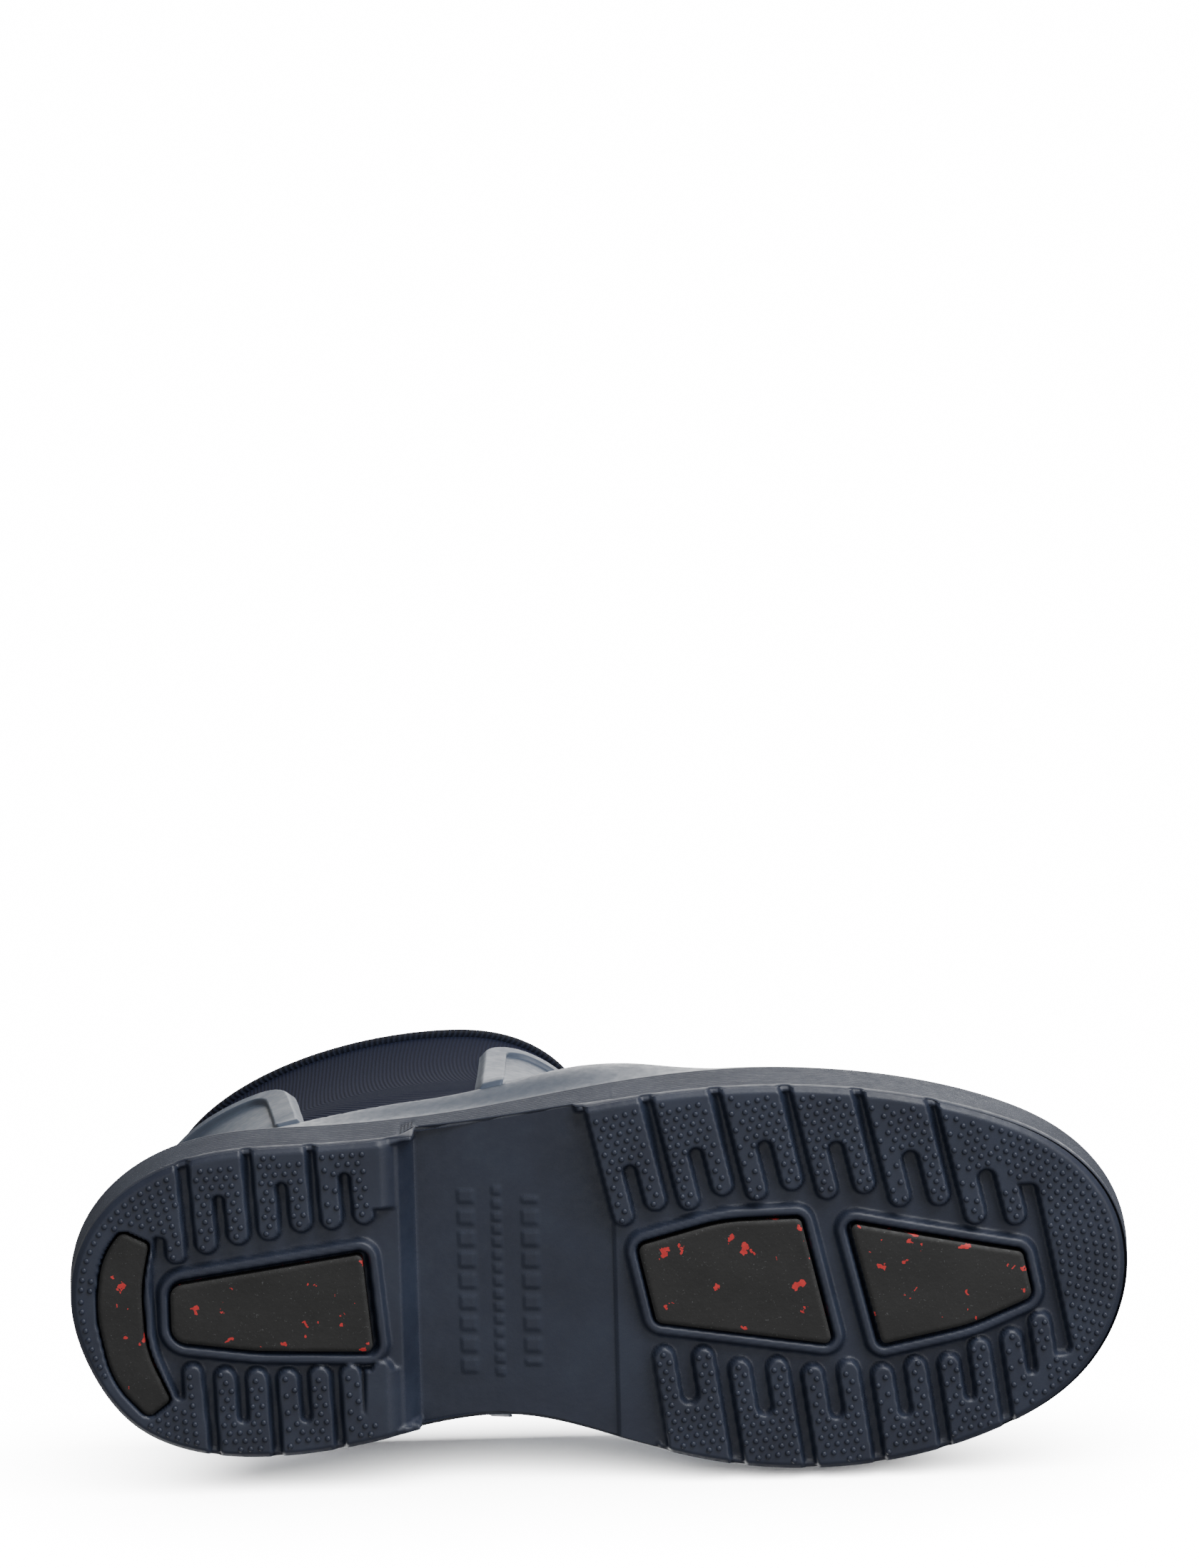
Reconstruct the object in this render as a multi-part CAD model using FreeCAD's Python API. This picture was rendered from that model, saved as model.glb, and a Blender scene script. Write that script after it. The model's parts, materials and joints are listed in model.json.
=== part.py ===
import FreeCAD, Part
import os
from math import cos, hypot, pi, radians, sin, tan

# Right-foot deck boot.  +X points to the toe, +Y to the inner (medial) side, +Z up.
# The origin is on the ground under the middle of the boot.  Millimetres.

V = FreeCAD.Vector

# ---- driving dimensions -------------------------------------------------------------
COLLAR_HEIGHT = 155.0        # ground to the top of the neoprene
FOXING_SKIN = 4.2            # sole edge to the neoprene surface, measured inwards
GALOSH_SKIN = 1.8            # rubber shell, outwards from the neoprene surface
PANEL_SKIN = 1.5             # front and rear panels, outwards from the neoprene
RIM_SKIN = 2.6               # raised border of the panels
RIM_WIDTH = 6.5
NEOPRENE = 4.0
LINING = 1.0
JOIN_GAP = 0.1               # glue line between bonded layers
TREAD_DEPTH = 4.0            # lug faces to the floor of the grooves
RIB_BAND = (4.5, 20.0)       # lowest and highest level of the ribbed side wall
GALOSH_TOP = 42.0            # upper edge of the rubber at the waist and heel
PANEL_TOP = 135.0
TOE_SPRING_START = 66.0
TOE_SPRING = 7.0             # rise of the sole at the tip
HEEL_FRONT = -56.0           # where the heel tread ends
WAIST_START = -47.0          # ridge at the top of the heel breast
WAIST_RISE = 11.0            # underside of the waist at that ridge
FOOTBED_HINGE = (112.0, 20.5)    # x, z of the toe end of the footbed

# Sole edge at the ground, from the heel tip round the inner side to the toe and back.
SOLE_EDGE = [
    (-135.8, 1.0), (-131, 20), (-120, 34.6), (-105, 41.4), (-86, 43.2), (-60, 40.2),
    (-23, 34.6), (5, 41), (30, 47.7), (55, 49.9), (80, 47.4), (105, 39.8), (122, 29.4),
    (132.6, 14.4), (135.8, -1.0), (132.6, -16.2), (120, -31.4), (100, -41.4), (75, -47.6),
    (40, -50.2), (5, -47.4), (-35, -41), (-75, -37.8), (-103, -35.4), (-122, -26.6),
    (-132.4, -14),
]

# Top line of the forefoot (x, height of the plateau above the welt line).
WELT_LEVEL = 22.0
ARCH_RADIUS = 46.0
VAMP_HEIGHT = [(-140, 30), (-90, 34), (-40, 40), (0, 47), (30, 49), (60, 45), (85, 38),
               (110, 34), (140, 31)]

# Leg of the boot: z, back x, front x, half width.
SHAFT = [(0, -100, -14, 20), (20, -104, -6, 26), (42, -114, 10, 40), (62, -119.5, 12, 41.5),
         (85, -119.5, 8, 39.9), (110, -118.8, 3, 39.0), (135, -119.6, 1, 39.5),
         (160, -121, 0.5, 41.3)]
SHAFT_AXIS_Y = 1.2
SHAFT_WIDEST = 0.66          # share of the length, from the back, where it is widest
BLEND = (14.0, 44.0)         # fillet between the foot and the leg: heel side, instep side

# ---- the body of the boot as a level-set --------------------------------------------


def smooth_table(rows, x):
    """Catmull-Rom value of the second column (or columns) of rows at x."""
    x = min(max(x, rows[0][0]), rows[-1][0])
    i = 0
    while i < len(rows) - 2 and x > rows[i + 1][0]:
        i += 1
    a, b = rows[i], rows[i + 1]
    before, after = rows[max(i - 1, 0)], rows[min(i + 2, len(rows) - 1)]
    span = b[0] - a[0]
    t = (x - a[0]) / span
    values = []
    for k in range(1, len(a)):
        slope_a = (b[k] - before[k]) / (b[0] - before[0]) * span
        slope_b = (after[k] - a[k]) / (after[0] - a[0]) * span
        values.append((2 * t**3 - 3 * t**2 + 1) * a[k] + (t**3 - 2 * t**2 + t) * slope_a
                      + (3 * t**2 - 2 * t**3) * b[k] + (t**3 - t**2) * slope_b)
    return values if len(values) > 1 else values[0]


def closed_curve(points):
    """Smooth closed curve through points."""
    curve = Part.BSplineCurve()
    curve.interpolate(points, PeriodicFlag=True)
    return curve


EDGE_CURVE = closed_curve([V(x, y, 0) for x, y in SOLE_EDGE])
EDGE_SAMPLES = [(p.x, p.y) for p in EDGE_CURVE.toShape().discretize(141)][:-1]


def edge_distance(x, y):
    """Distance inwards from the sole edge; negative outside it."""
    best = None
    count = len(EDGE_SAMPLES)
    gaps = [(px - x)**2 + (py - y)**2 for px, py in EDGE_SAMPLES]
    nearest = gaps.index(min(gaps))
    for i in (nearest - 1, nearest):
        ax, ay = EDGE_SAMPLES[i]
        bx, by = EDGE_SAMPLES[(i + 1) % count]
        dx, dy = bx - ax, by - ay
        length = hypot(dx, dy)
        t = min(max(((x - ax) * dx + (y - ay) * dy) / length**2, 0), 1)
        gap = hypot(x - ax - t * dx, y - ay - t * dy)
        side = (dx * (y - ay) - dy * (x - ax)) / length
        if best is None or gap < abs(best):
            best = gap if side < 0 else -gap
    return best


def foot_level(x, y, z):
    """Pseudo-distance to the foot part; negative inside."""
    flare = 0.1 * min(max(z, 0), 26)
    inset = edge_distance(x, y) - FOXING_SKIN + flare
    rise = max(z - WELT_LEVEL, 0) / smooth_table(VAMP_HEIGHT, x)
    across = max(0, 1 - inset / ARCH_RADIUS)
    power = 2.3
    return ARCH_RADIUS * ((rise**power + across**power)**(1 / power) - 1)


def leg_level(x, y, z):
    """Pseudo-distance to the leg part; negative inside."""
    back, front, half = smooth_table(SHAFT, z)
    widest = back + SHAFT_WIDEST * (front - back)
    reach = front - widest if x > widest else widest - back
    along, across = abs(x - widest) / reach, abs(y - SHAFT_AXIS_Y) / half
    power = 2.3 if x > widest else 1.85
    return 44.0 * ((along**power + across**power)**(1 / power) - 1)


def boot_level(x, y, z):
    """Neoprene surface of the boot at 0; positive outside, about a millimetre per unit."""
    foot, leg = foot_level(x, y, z), leg_level(x, y, z)
    share = min(max((x + 45.0) / 60.0, 0), 1)
    blend = BLEND[0] + (BLEND[1] - BLEND[0]) * share**2 * (3 - 2 * share)
    mix = max(blend - abs(foot - leg), 0) / blend
    return min(foot, leg) - mix * mix * blend / 4


# ---- level slices and solids --------------------------------------------------------
SLICES = (-5, 26, 33, 39, 44, 48.5, 52.5, 56, 59, 61.5, 64, 66.5, 69, 72, 76, 81, 87, 95, 105,
          118, 132, 146, COLLAR_HEIGHT + 6)
# Middle and half length of the slices by height, which spread the points round them.
SLICE_SPREAD = [(-5, 0, 134), (45, 0, 124), (56, -12, 112), (64, -28, 92), (72, -42, 76),
                (84, -55, 62), (170, -58, 60)]
SLICE_HALF_WIDTH = 42.0
RAYS = 44


def slice_wire(z, depth):
    """Closed curve at height z where the boot level equals -depth."""
    middle, reach = smooth_table(SLICE_SPREAD, z)
    points = []
    for i in range(RAYS):
        angle = 2 * pi * i / RAYS
        dx, dy = reach * cos(angle), SLICE_HALF_WIDTH * sin(angle)
        low, high = 0.0, 1.6
        for _ in range(16):
            share = (low + high) / 2
            level = boot_level(middle + share * dx, SHAFT_AXIS_Y + share * dy, z)
            low, high = (share, high) if level < -depth else (low, share)
        points.append(V(middle + low * dx, SHAFT_AXIS_Y + low * dy, z))
    curve = Part.BSplineCurve()
    curve.interpolate(Points=points, PeriodicFlag=True, Parameters=list(range(RAYS + 1)))
    return Part.Wire([curve.toShape()])


BODIES = {}


def boot_solid(depth):
    """Solid inside the boot surface moved inwards by depth (outwards if negative)."""
    if depth not in BODIES:
        BODIES[depth] = Part.makeLoft([slice_wire(z, depth) for z in SLICES], True, True)
    return BODIES[depth]


def skin(outer, inner):
    """Shell between two depths."""
    return boot_solid(outer).cut(boot_solid(inner))


def side_slab(points, half=90.0):
    """Everything across the boot inside the closed outline of (x, z) points."""
    corners = [V(x, SHAFT_AXIS_Y - half, z) for x, z in points]
    wire = Part.makePolygon(corners + corners[:1])
    return Part.Face(wire).extrude(V(0, 2 * half, 0))


# ---- level lines of the sole, seen from the side ------------------------------------
BALL_START = 4.0             # the waist ends and the forefoot tread begins
WAIST_END = 5.0              # underside of the waist there


def spring(x):
    """Rise of the tread at x from the toe spring."""
    share = max(x - TOE_SPRING_START, 0) / (136.0 - TOE_SPRING_START)
    return TOE_SPRING * share**2


def underside(x):
    """Height of the tread faces and of the waist at x."""
    if x < HEEL_FRONT:
        return 0.0
    if x < WAIST_START:
        share = (x - HEEL_FRONT) / (WAIST_START - HEEL_FRONT)
        return WAIST_RISE * share**1.6
    if x < BALL_START:
        share = (x - WAIST_START) / (BALL_START - WAIST_START)
        return WAIST_RISE + (WAIST_END - WAIST_RISE) * share
    return spring(x)


def groove_floor(x):
    """Underside of the outsole between the lugs."""
    return max(underside(x), TREAD_DEPTH + spring(x))


def flange_low(x):
    """Lower face of the smooth edge below the ribs."""
    return underside(x) if HEEL_FRONT < x < BALL_START else 1.5 + spring(x)


def rib_low(x):
    """Lower edge of the ribbed wall."""
    return max(underside(x), RIB_BAND[0] + spring(x))


def rib_high(x):
    """Upper edge of the ribbed wall."""
    return RIB_BAND[1] + 0.5 * spring(x)


def insole_line(x):
    """Underside of the lasted upper: raised heel, lower ball, sprung toe."""
    rows = [(-150, 20.5), (-70, 20.2), (-20, 17.0), (40, 12.6), (80, 13.0), (140, 19.5)]
    return smooth_table(rows, x)


def outsole_top(x):
    """Top face of the rubber outsole inside the boot."""
    rows = [(-150, 7.4), (-64, 7.6), (-48, 12.8), (-34, 12.4), (0, 9.4), (40, 7.6), (80, 8.0),
            (140, 14.6)]
    return smooth_table(rows, x)


def raised(line, by):
    """The level line moved up by a constant."""
    return lambda x: line(x) + by


LEVEL_STATIONS = (-150, -110, -80, -66, HEEL_FRONT, -52.5, WAIST_START, -34, -15, BALL_START,
                  24, 45, TOE_SPRING_START, 85, 102, 118, 136, 150)


def band(low, high, start=-150.0, end=150.0, half=90.0):
    """Slab between two level lines."""
    xs = [start] + [x for x in LEVEL_STATIONS if start < x < end] + [end]
    outline = [(x, low(x)) for x in xs] + [(x, high(x)) for x in reversed(xs)]
    return side_slab(outline, half)


# ---- tread --------------------------------------------------------------------------
FINGER_WIDTH = 5.4
SLOT_LENGTH = 12.5           # finger tip to the closed end of its slot
HEEL_TREAD_END = -51.5       # on the ramp of the heel breast
BALL_TREAD_START = -8.0
LUG_ROOT = TREAD_DEPTH + 9.0
LUG_REACH = 60.0             # lugs are drawn past the sole edge and trimmed by it
# Inner ends of the fingers along each side (x, y).
OUTER_TIPS = [(-112, -8), (-95, -12), (-60, -17), (5, -16), (30, -21), (55, -22), (80, -19),
              (108, -11)]
INNER_TIPS = [(-108, 18.5), (-85, 20.3), (-56, 18.8), (10, 16), (40, 21), (62, 22.6),
              (85, 21.6), (116, 11)]
# Middle of each pair of fingers, half their spacing, and the lean dx/dy of the pair.
OUTER_HEEL = [(-96.3 + 16.2 * k, 4.2, 0.06) for k in range(3)]
INNER_HEEL = [(-93.0 + 16.2 * k, 4.1, 0.04) for k in range(3)]
OUTER_BALL = [(11.4 + 16.7 * k + 0.32 * k * k, 4.5 + 0.1 * k, 0.23) for k in range(6)]
INNER_BALL = [(20.9 + 19.7 * k - 0.4 * k * k, 5.0 - 0.2 * k, 0.14) for k in range(6)]
# Blocks of the heel end, the heel breast and the toe end: corners (x, y, radius).
HEEL_BLOCK = [(-150, -70, 0), (-110.4, -70, 0), (-105.8, -8.1, 2.3), (-110.8, -8.3, 2.3),
              (-111.2, -14.8, 0.9), (-113.9, -15.6, 0.9), (-115.4, -3, 30), (-114.8, 13, 25),
              (-109.4, 27.4, 0.8), (-107.5, 27.0, 0.7), (-107.9, 18.5, 2.3), (-103.0, 18.4, 2.3),
              (-99.6, 70, 0), (-150, 70, 0)]
BREAST_BLOCKS = [[(-62, side * 70, 0), (-61, side * 21, 0), (-50, side * 21, 0), (-50, side * 70, 0)]
                 for side in (-1, 1)]
TOE_BLOCK = [(92, -70, 0), (104, -22.6, 0), (113.0, -22.6, 1.6), (121.9, 22.2, 1.7),
             (113, 22.8, 0), (113, 70, 0), (150, 70, 0), (150, -70, 0)]
# Pockets of the grip inserts: corners (x, y, radius).
HEEL_POCKET = [(-110.6, -3.0, 4), (-59.6, -10.4, 2.2), (-57.2, 16.9, 2.5), (-88, 15.8, 40),
               (-110.6, 12.8, 5)]
BALL_REAR_POCKET = [(9.6, -10.0, 2.5), (32, -15.9, 50), (52.4, -16.3, 2), (60.3, 17.8, 2),
                    (14.2, 10.8, 2.5)]
BALL_FRONT_POCKET = [(63.4, -15.0, 2), (109.4, -5.4, 2.5), (112, 7.4, 3), (95.5, 13.9, 50),
                     (71.6, 18.6, 2)]
CRESCENT_POCKET = [(-122.4, -17.6, 2.5), (-114.8, -13.9, 2), (-117.4, -2, 40), (-116.6, 14, 30),
                   (-110.6, 27.7, 2), (-117.0, 32.6, 2.5), (-126.2, 22.8, 25), (-130.0, 4, 35),
                   (-128.0, -10.8, 20)]
FRAME_WIDTH = 3.2
FRAME_LEVEL = 1.0            # lower face of the raised frames
INSERT_LEVEL = 0.7           # lower face of the inserts
INSERT_ROOT = 5.6            # upper face of the inserts, glued in their pockets
POCKET_GAP = 0.7
FRAMED = {"grip_insert_heel_centre": HEEL_POCKET, "grip_insert_forefoot_rear": BALL_REAR_POCKET,
          "grip_insert_forefoot_front": BALL_FRONT_POCKET}


def rounded_wire(corners, level=0.0):
    """Closed wire of straight sides between corners given as (x, y, radius)."""
    bends = []
    for i, (x, y, radius) in enumerate(corners):
        here = V(x, y, level)
        before = (V(*corners[i - 1][:2], level) - here).normalize()
        after = (V(*corners[(i + 1) % len(corners)][:2], level) - here).normalize()
        half = before.getAngle(after) / 2
        reach = radius / tan(half)
        inwards = (before + after).normalize()
        bends.append((here + before * reach, here + inwards * (radius / sin(half) - radius),
                      here + after * reach, radius))
    edges = []
    for i, (start, middle, end, radius) in enumerate(bends):
        if radius:
            edges.append(Part.Arc(start, middle, end).toShape())
        edges.append(Part.LineSegment(end, bends[(i + 1) % len(bends)][0]).toShape())
    return Part.Wire(edges)


def plan_prism(corners, bottom, top, grow=0.0):
    """Upright prism over a rounded outline, grown outwards by grow."""
    wire = rounded_wire(corners, bottom)
    if grow:
        wire = wire.makeOffset2D(grow)
    return Part.Face(wire).extrude(V(0, 0, top - bottom))


def lug(middle, spread, lean, tips, side):
    """Block with two round-ended fingers that point to the middle of the sole."""
    radius = FINGER_WIDTH / 2
    length = hypot(1, lean)
    out = V(side * lean / length, side / length, 0)
    across = V(1 / length, -lean / length, 0)
    origin = V(middle, smooth_table(tips, middle), -1)

    def at(along_x, outwards):
        return origin + across * along_x + out * outwards

    slot = spread - radius
    path = [at(-spread - radius, LUG_REACH)]
    edges = []
    for sign, bend in ((-1, radius), (0, slot), (1, radius)):
        if sign:
            drop = side * (smooth_table(tips, middle + sign * spread) - smooth_table(tips, middle))
            centre, dip = at(sign * spread, drop + radius), -radius
        else:
            centre, dip = at(0, SLOT_LENGTH), slot
        first, last = centre - across * bend, centre + across * bend
        edges.append(Part.LineSegment(path[-1], first).toShape())
        edges.append(Part.Arc(first, centre + out * dip, last).toShape())
        path.append(last)
    far = at(spread + radius, LUG_REACH)
    edges.append(Part.LineSegment(path[-1], far).toShape())
    edges.append(Part.LineSegment(far, path[0]).toShape())
    return Part.Face(Part.Wire(edges)).extrude(V(0, 0, LUG_ROOT + 1))


def make_outsole():
    """Rubber outsole: plate, edge, lugs, fingers, insert frames and pockets."""
    heel = [lug(*row, OUTER_TIPS, -1) for row in OUTER_HEEL]
    heel += [lug(*row, INNER_TIPS, 1) for row in INNER_HEEL]
    heel += [plan_prism(block, -1, LUG_ROOT) for block in [HEEL_BLOCK] + BREAST_BLOCKS]
    ball = [lug(*row, OUTER_TIPS, -1) for row in OUTER_BALL]
    ball += [lug(*row, INNER_TIPS, 1) for row in INNER_BALL]
    ball.append(plan_prism(TOE_BLOCK, -1, LUG_ROOT))
    frames = [plan_prism(pocket, -1, LUG_ROOT, FRAME_WIDTH) for pocket in FRAMED.values()]
    heel_zone = band(underside, raised(spring, RIB_BAND[0]), -150, HEEL_TREAD_END)
    ball_zone = band(spring, raised(spring, RIB_BAND[0]), BALL_TREAD_START, 150)
    frame_zone = band(raised(spring, FRAME_LEVEL), raised(groove_floor, 1.0))
    footprint = Part.Face(Part.Wire([EDGE_CURVE.toShape()])).extrude(V(0, 0, LUG_ROOT))
    tread = [heel[0].multiFuse(heel[1:]).common(heel_zone).common(footprint),
             ball[0].multiFuse(ball[1:]).common(ball_zone).common(footprint)]
    tread += [frame.common(frame_zone) for frame in frames]
    plate = boot_solid(-GALOSH_SKIN - JOIN_GAP).common(band(groove_floor, outsole_top))
    edge = skin(-FOXING_SKIN, -1.0).common(band(flange_low, rib_low))
    sole = plate.multiFuse([edge] + tread)
    return sole.cut(pockets(0.0, -1.0, INSERT_ROOT + JOIN_GAP))


def pockets(gap, bottom, top):
    """The four pockets, narrowed by gap, between two heights over the toe spring."""
    zone = band(raised(spring, bottom), raised(spring, top))
    outlines = list(FRAMED.values()) + [CRESCENT_POCKET]
    return Part.makeCompound([plan_prism(outline, -2, 20, -gap).common(zone)
                              for outline in outlines])


def make_inserts():
    """Grip inserts of softer rubber."""
    names = list(FRAMED) + ["grip_insert_heel_rear"]
    return dict(zip(names, pockets(POCKET_GAP, INSERT_LEVEL, INSERT_ROOT).Solids))


# ---- upper --------------------------------------------------------------------------
TOE_PUFF_START = 84.0
COUNTER_END = -84.0
STIFFENER = 1.3
BOARD = 2.4
# Side views (x, z): rubber galosh, panels with their rims.
GALOSH_EDGE = [(160, 130), (34, 130), (24, 92), (16, 74), (6, 58), (-6, 47), (-20, GALOSH_TOP),
               (-160, GALOSH_TOP)]
FRONT_PANEL_BACK = -32.0
CORNER_RADIUS = 13.0
REAR_PANEL = [(-75, 30), (-82.5, 106), (-84.6, 116), (-89, 123.5), (-96, 128), (-118, 139),
              (-160, 158), (-160, 30)]
REAR_INSIDE = [(-81.6, 30), (-88.8, 105), (-90.6, 113), (-94, 118.4), (-99, 121.8), (-120, 132),
               (-160, 150), (-160, 30)]


def above(line, top=200.0):
    """Everything above a level line."""
    return band(line, lambda x: top)


def front_outline(inset):
    """Side view of the front panel with its round upper corner."""
    back, top = FRONT_PANEL_BACK + inset, PANEL_TOP - inset
    radius = CORNER_RADIUS - inset * 0.5
    arc = [(back + radius * (1 - cos(radians(a))), top - radius * (1 - sin(radians(a))))
           for a in range(0, 91, 15)]
    return [(back, 30)] + arc + [(80, top), (80, 30)]


def make_panels():
    """Rubber panels on the front and back of the leg, each with a raised rim."""
    galosh = galosh_zone(JOIN_GAP)
    nodes = {}
    for name, outer, inner, outside in (
            ("front_panel", front_outline(0), front_outline(RIM_WIDTH), front_outline(RIM_WIDTH + 0.1)),
            ("rear_panel", REAR_PANEL, REAR_INSIDE, [(x - 0.1, z) for x, z in REAR_INSIDE])):
        rim_zone = side_slab(outer).cut(side_slab(inner)).cut(galosh)
        nodes[name] = skin(-PANEL_SKIN, -JOIN_GAP).common(side_slab(outside).cut(galosh))
        nodes[name + "_rim"] = skin(-RIM_SKIN, -JOIN_GAP).common(rim_zone)
    return nodes


def galosh_zone(grow=0.0):
    """Side view of the rubber shell, from the glued edge up to its top line."""
    outline = [(x, z + grow) for x, z in GALOSH_EDGE]
    return side_slab([(-160, -20), (160, -20)] + outline)


def make_upper():
    """Rubber shell, stiffeners, neoprene bootee, lining, binding and seam tape."""
    nodes = {}
    lasted = above(insole_line, COLLAR_HEIGHT)
    nodes["rubber_galosh"] = skin(-GALOSH_SKIN, -JOIN_GAP).common(galosh_zone()).common(
        above(raised(insole_line, -BOARD)))
    puff_zone = side_slab([(TOE_PUFF_START, 0), (TOE_PUFF_START, 90), (160, 90), (160, 0)])
    counter_zone = side_slab([(COUNTER_END, 0), (COUNTER_END, 34), (-100, 52), (-160, 58), (-160, 0)])
    stiffener = skin(0.0, STIFFENER).common(above(raised(insole_line, JOIN_GAP)))
    nodes["toe_puff"] = stiffener.common(puff_zone)
    nodes["heel_counter"] = stiffener.common(counter_zone)
    hollow = boot_solid(NEOPRENE).common(above(raised(insole_line, 3.0)))
    bootee = boot_solid(0.0).common(lasted).cut(hollow)
    recess = boot_solid(-1.0).cut(boot_solid(STIFFENER + JOIN_GAP))
    for zone in (puff_zone, counter_zone):
        bootee = bootee.cut(recess.common(zone).common(above(insole_line)))
    nodes["neoprene_bootee"] = bootee
    lining_in = NEOPRENE + JOIN_GAP + LINING
    nodes["bootee_lining"] = boot_solid(NEOPRENE + JOIN_GAP).common(
        above(raised(insole_line, 3.0 + JOIN_GAP), COLLAR_HEIGHT)).cut(
        boot_solid(lining_in).common(above(raised(insole_line, 4.0 + JOIN_GAP))))
    wrap = skin(-0.8, lining_in + 0.8).common(level_zone(COLLAR_HEIGHT - 6, COLLAR_HEIGHT + 1))
    held = skin(-0.05, lining_in + 0.05).common(level_zone(0, COLLAR_HEIGHT + JOIN_GAP))
    nodes["collar_binding"] = wrap.cut(held)
    tape = band(lambda x: 62.0, lambda x: COLLAR_HEIGHT - 7, -150, -90, 8.0)
    nodes["back_seam_tape"] = skin(lining_in + JOIN_GAP, lining_in + 0.7).common(tape)
    return nodes


def level_zone(low, high):
    """Everything between two heights."""
    return side_slab([(-160, low), (160, low), (160, high), (-160, high)])


# ---- bottom filling and footbed -----------------------------------------------------
FILLER_SPLIT = -42.0
SHANK = (-80.0, 4.0, 7.0, 0.8, 1.2)      # start, end, half width, rise, thickness
FOOTBED_SIDE = 6.5                       # depth of the footbed's edge
FOOTBED_RISE = 4.7                       # its underside above the insole line
FOOTBED_FOAM = 4.0
FOOTBED_COVER = 1.2
FOOTBED_LIFTS = (2.0, 4.0, 6.0)          # angles it has to clear the walls at


def make_bottom():
    """Fillers, shank and insole board between the outsole and the upper."""
    nodes = {}
    inside = boot_solid(-GALOSH_SKIN + JOIN_GAP)
    filling = inside.common(band(raised(outsole_top, JOIN_GAP),
                                 raised(insole_line, -BOARD - 2 * JOIN_GAP)))
    start, end, half, rise, thick = SHANK
    nodes["shank"] = band(raised(outsole_top, rise), raised(outsole_top, rise + thick), start, end,
                          half)
    slot = band(raised(outsole_top, rise - JOIN_GAP), raised(outsole_top, rise + thick + JOIN_GAP),
                start - 0.5, end + 0.5, half + 0.2)
    filling = filling.cut(slot)
    heel = side_slab([(-160, 0), (-160, 40), (FILLER_SPLIT, 40), (FILLER_SPLIT, 0)])
    front = side_slab([(160, 0), (160, 40), (FILLER_SPLIT + 0.2, 40), (FILLER_SPLIT + 0.2, 0)])
    nodes["heel_filler"] = filling.common(heel)
    nodes["forefoot_filler"] = filling.common(front)
    nodes["insole_board"] = boot_solid(0.0).common(
        band(raised(insole_line, -BOARD), raised(insole_line, -JOIN_GAP)))
    return nodes


def make_footbed():
    """Loose footbed: foam with a knit cover, narrow enough to lift out by its heel."""
    edge = boot_solid(FOOTBED_SIDE)
    for angle in FOOTBED_LIFTS:
        lifted = boot_solid(FOOTBED_SIDE).copy()
        lifted.rotate(V(FOOTBED_HINGE[0], 0, FOOTBED_HINGE[1]), V(0, 1, 0), -angle)
        edge = edge.common(lifted)
    top = FOOTBED_RISE + FOOTBED_FOAM
    end = FOOTBED_HINGE[0] + 3.0
    foam = edge.common(band(raised(insole_line, FOOTBED_RISE), raised(insole_line, top), -150, end))
    cover = edge.common(band(raised(insole_line, top + JOIN_GAP),
                             raised(insole_line, top + JOIN_GAP + FOOTBED_COVER), -150, end))
    return {"footbed": foam, "footbed_cover": cover}


def make_foxing():
    """Ribbed side wall glued round the boot."""
    wall = skin(-FOXING_SKIN, -GALOSH_SKIN - JOIN_GAP)
    return wall.common(band(raised(rib_low, JOIN_GAP), rib_high))


def build():
    """All nodes by name."""
    nodes = {"outsole": make_outsole(), "ribbed_foxing": make_foxing()}
    for group in (make_inserts, make_bottom, make_upper, make_panels, make_footbed):
        nodes.update(group())
    return nodes


def main():
    os.makedirs("parts", exist_ok=True)
    for name, shape in sorted(build().items()):
        solids = [solid for solid in shape.Solids if solid.Volume > 2.0]
        solid = solids[0] if len(solids) == 1 else Part.makeCompound(solids)
        solid.exportStep("parts/" + name + ".step")
        box = solid.BoundBox
        print("%-28s %2d solids  %9.0f mm3  valid %s  x %.1f..%.1f y %.1f..%.1f z %.1f..%.1f" % (
            name, len(solids), solid.Volume, solid.isValid(), box.XMin, box.XMax, box.YMin,
            box.YMax, box.ZMin, box.ZMax))


if __name__ == "__main__":
    main()
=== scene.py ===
"""Looks of the deck boot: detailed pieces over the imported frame, materials, light and camera.

The frame is in metres: +X to the toe, +Y to the inner side, +Z up.  The shapes below are worked
out in millimetres and scaled once, when a mesh is made.
"""
import json
from math import cos, hypot, pi, radians, sin

import bmesh
import bpy
import numpy as np
from mathutils import Matrix, Vector

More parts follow.
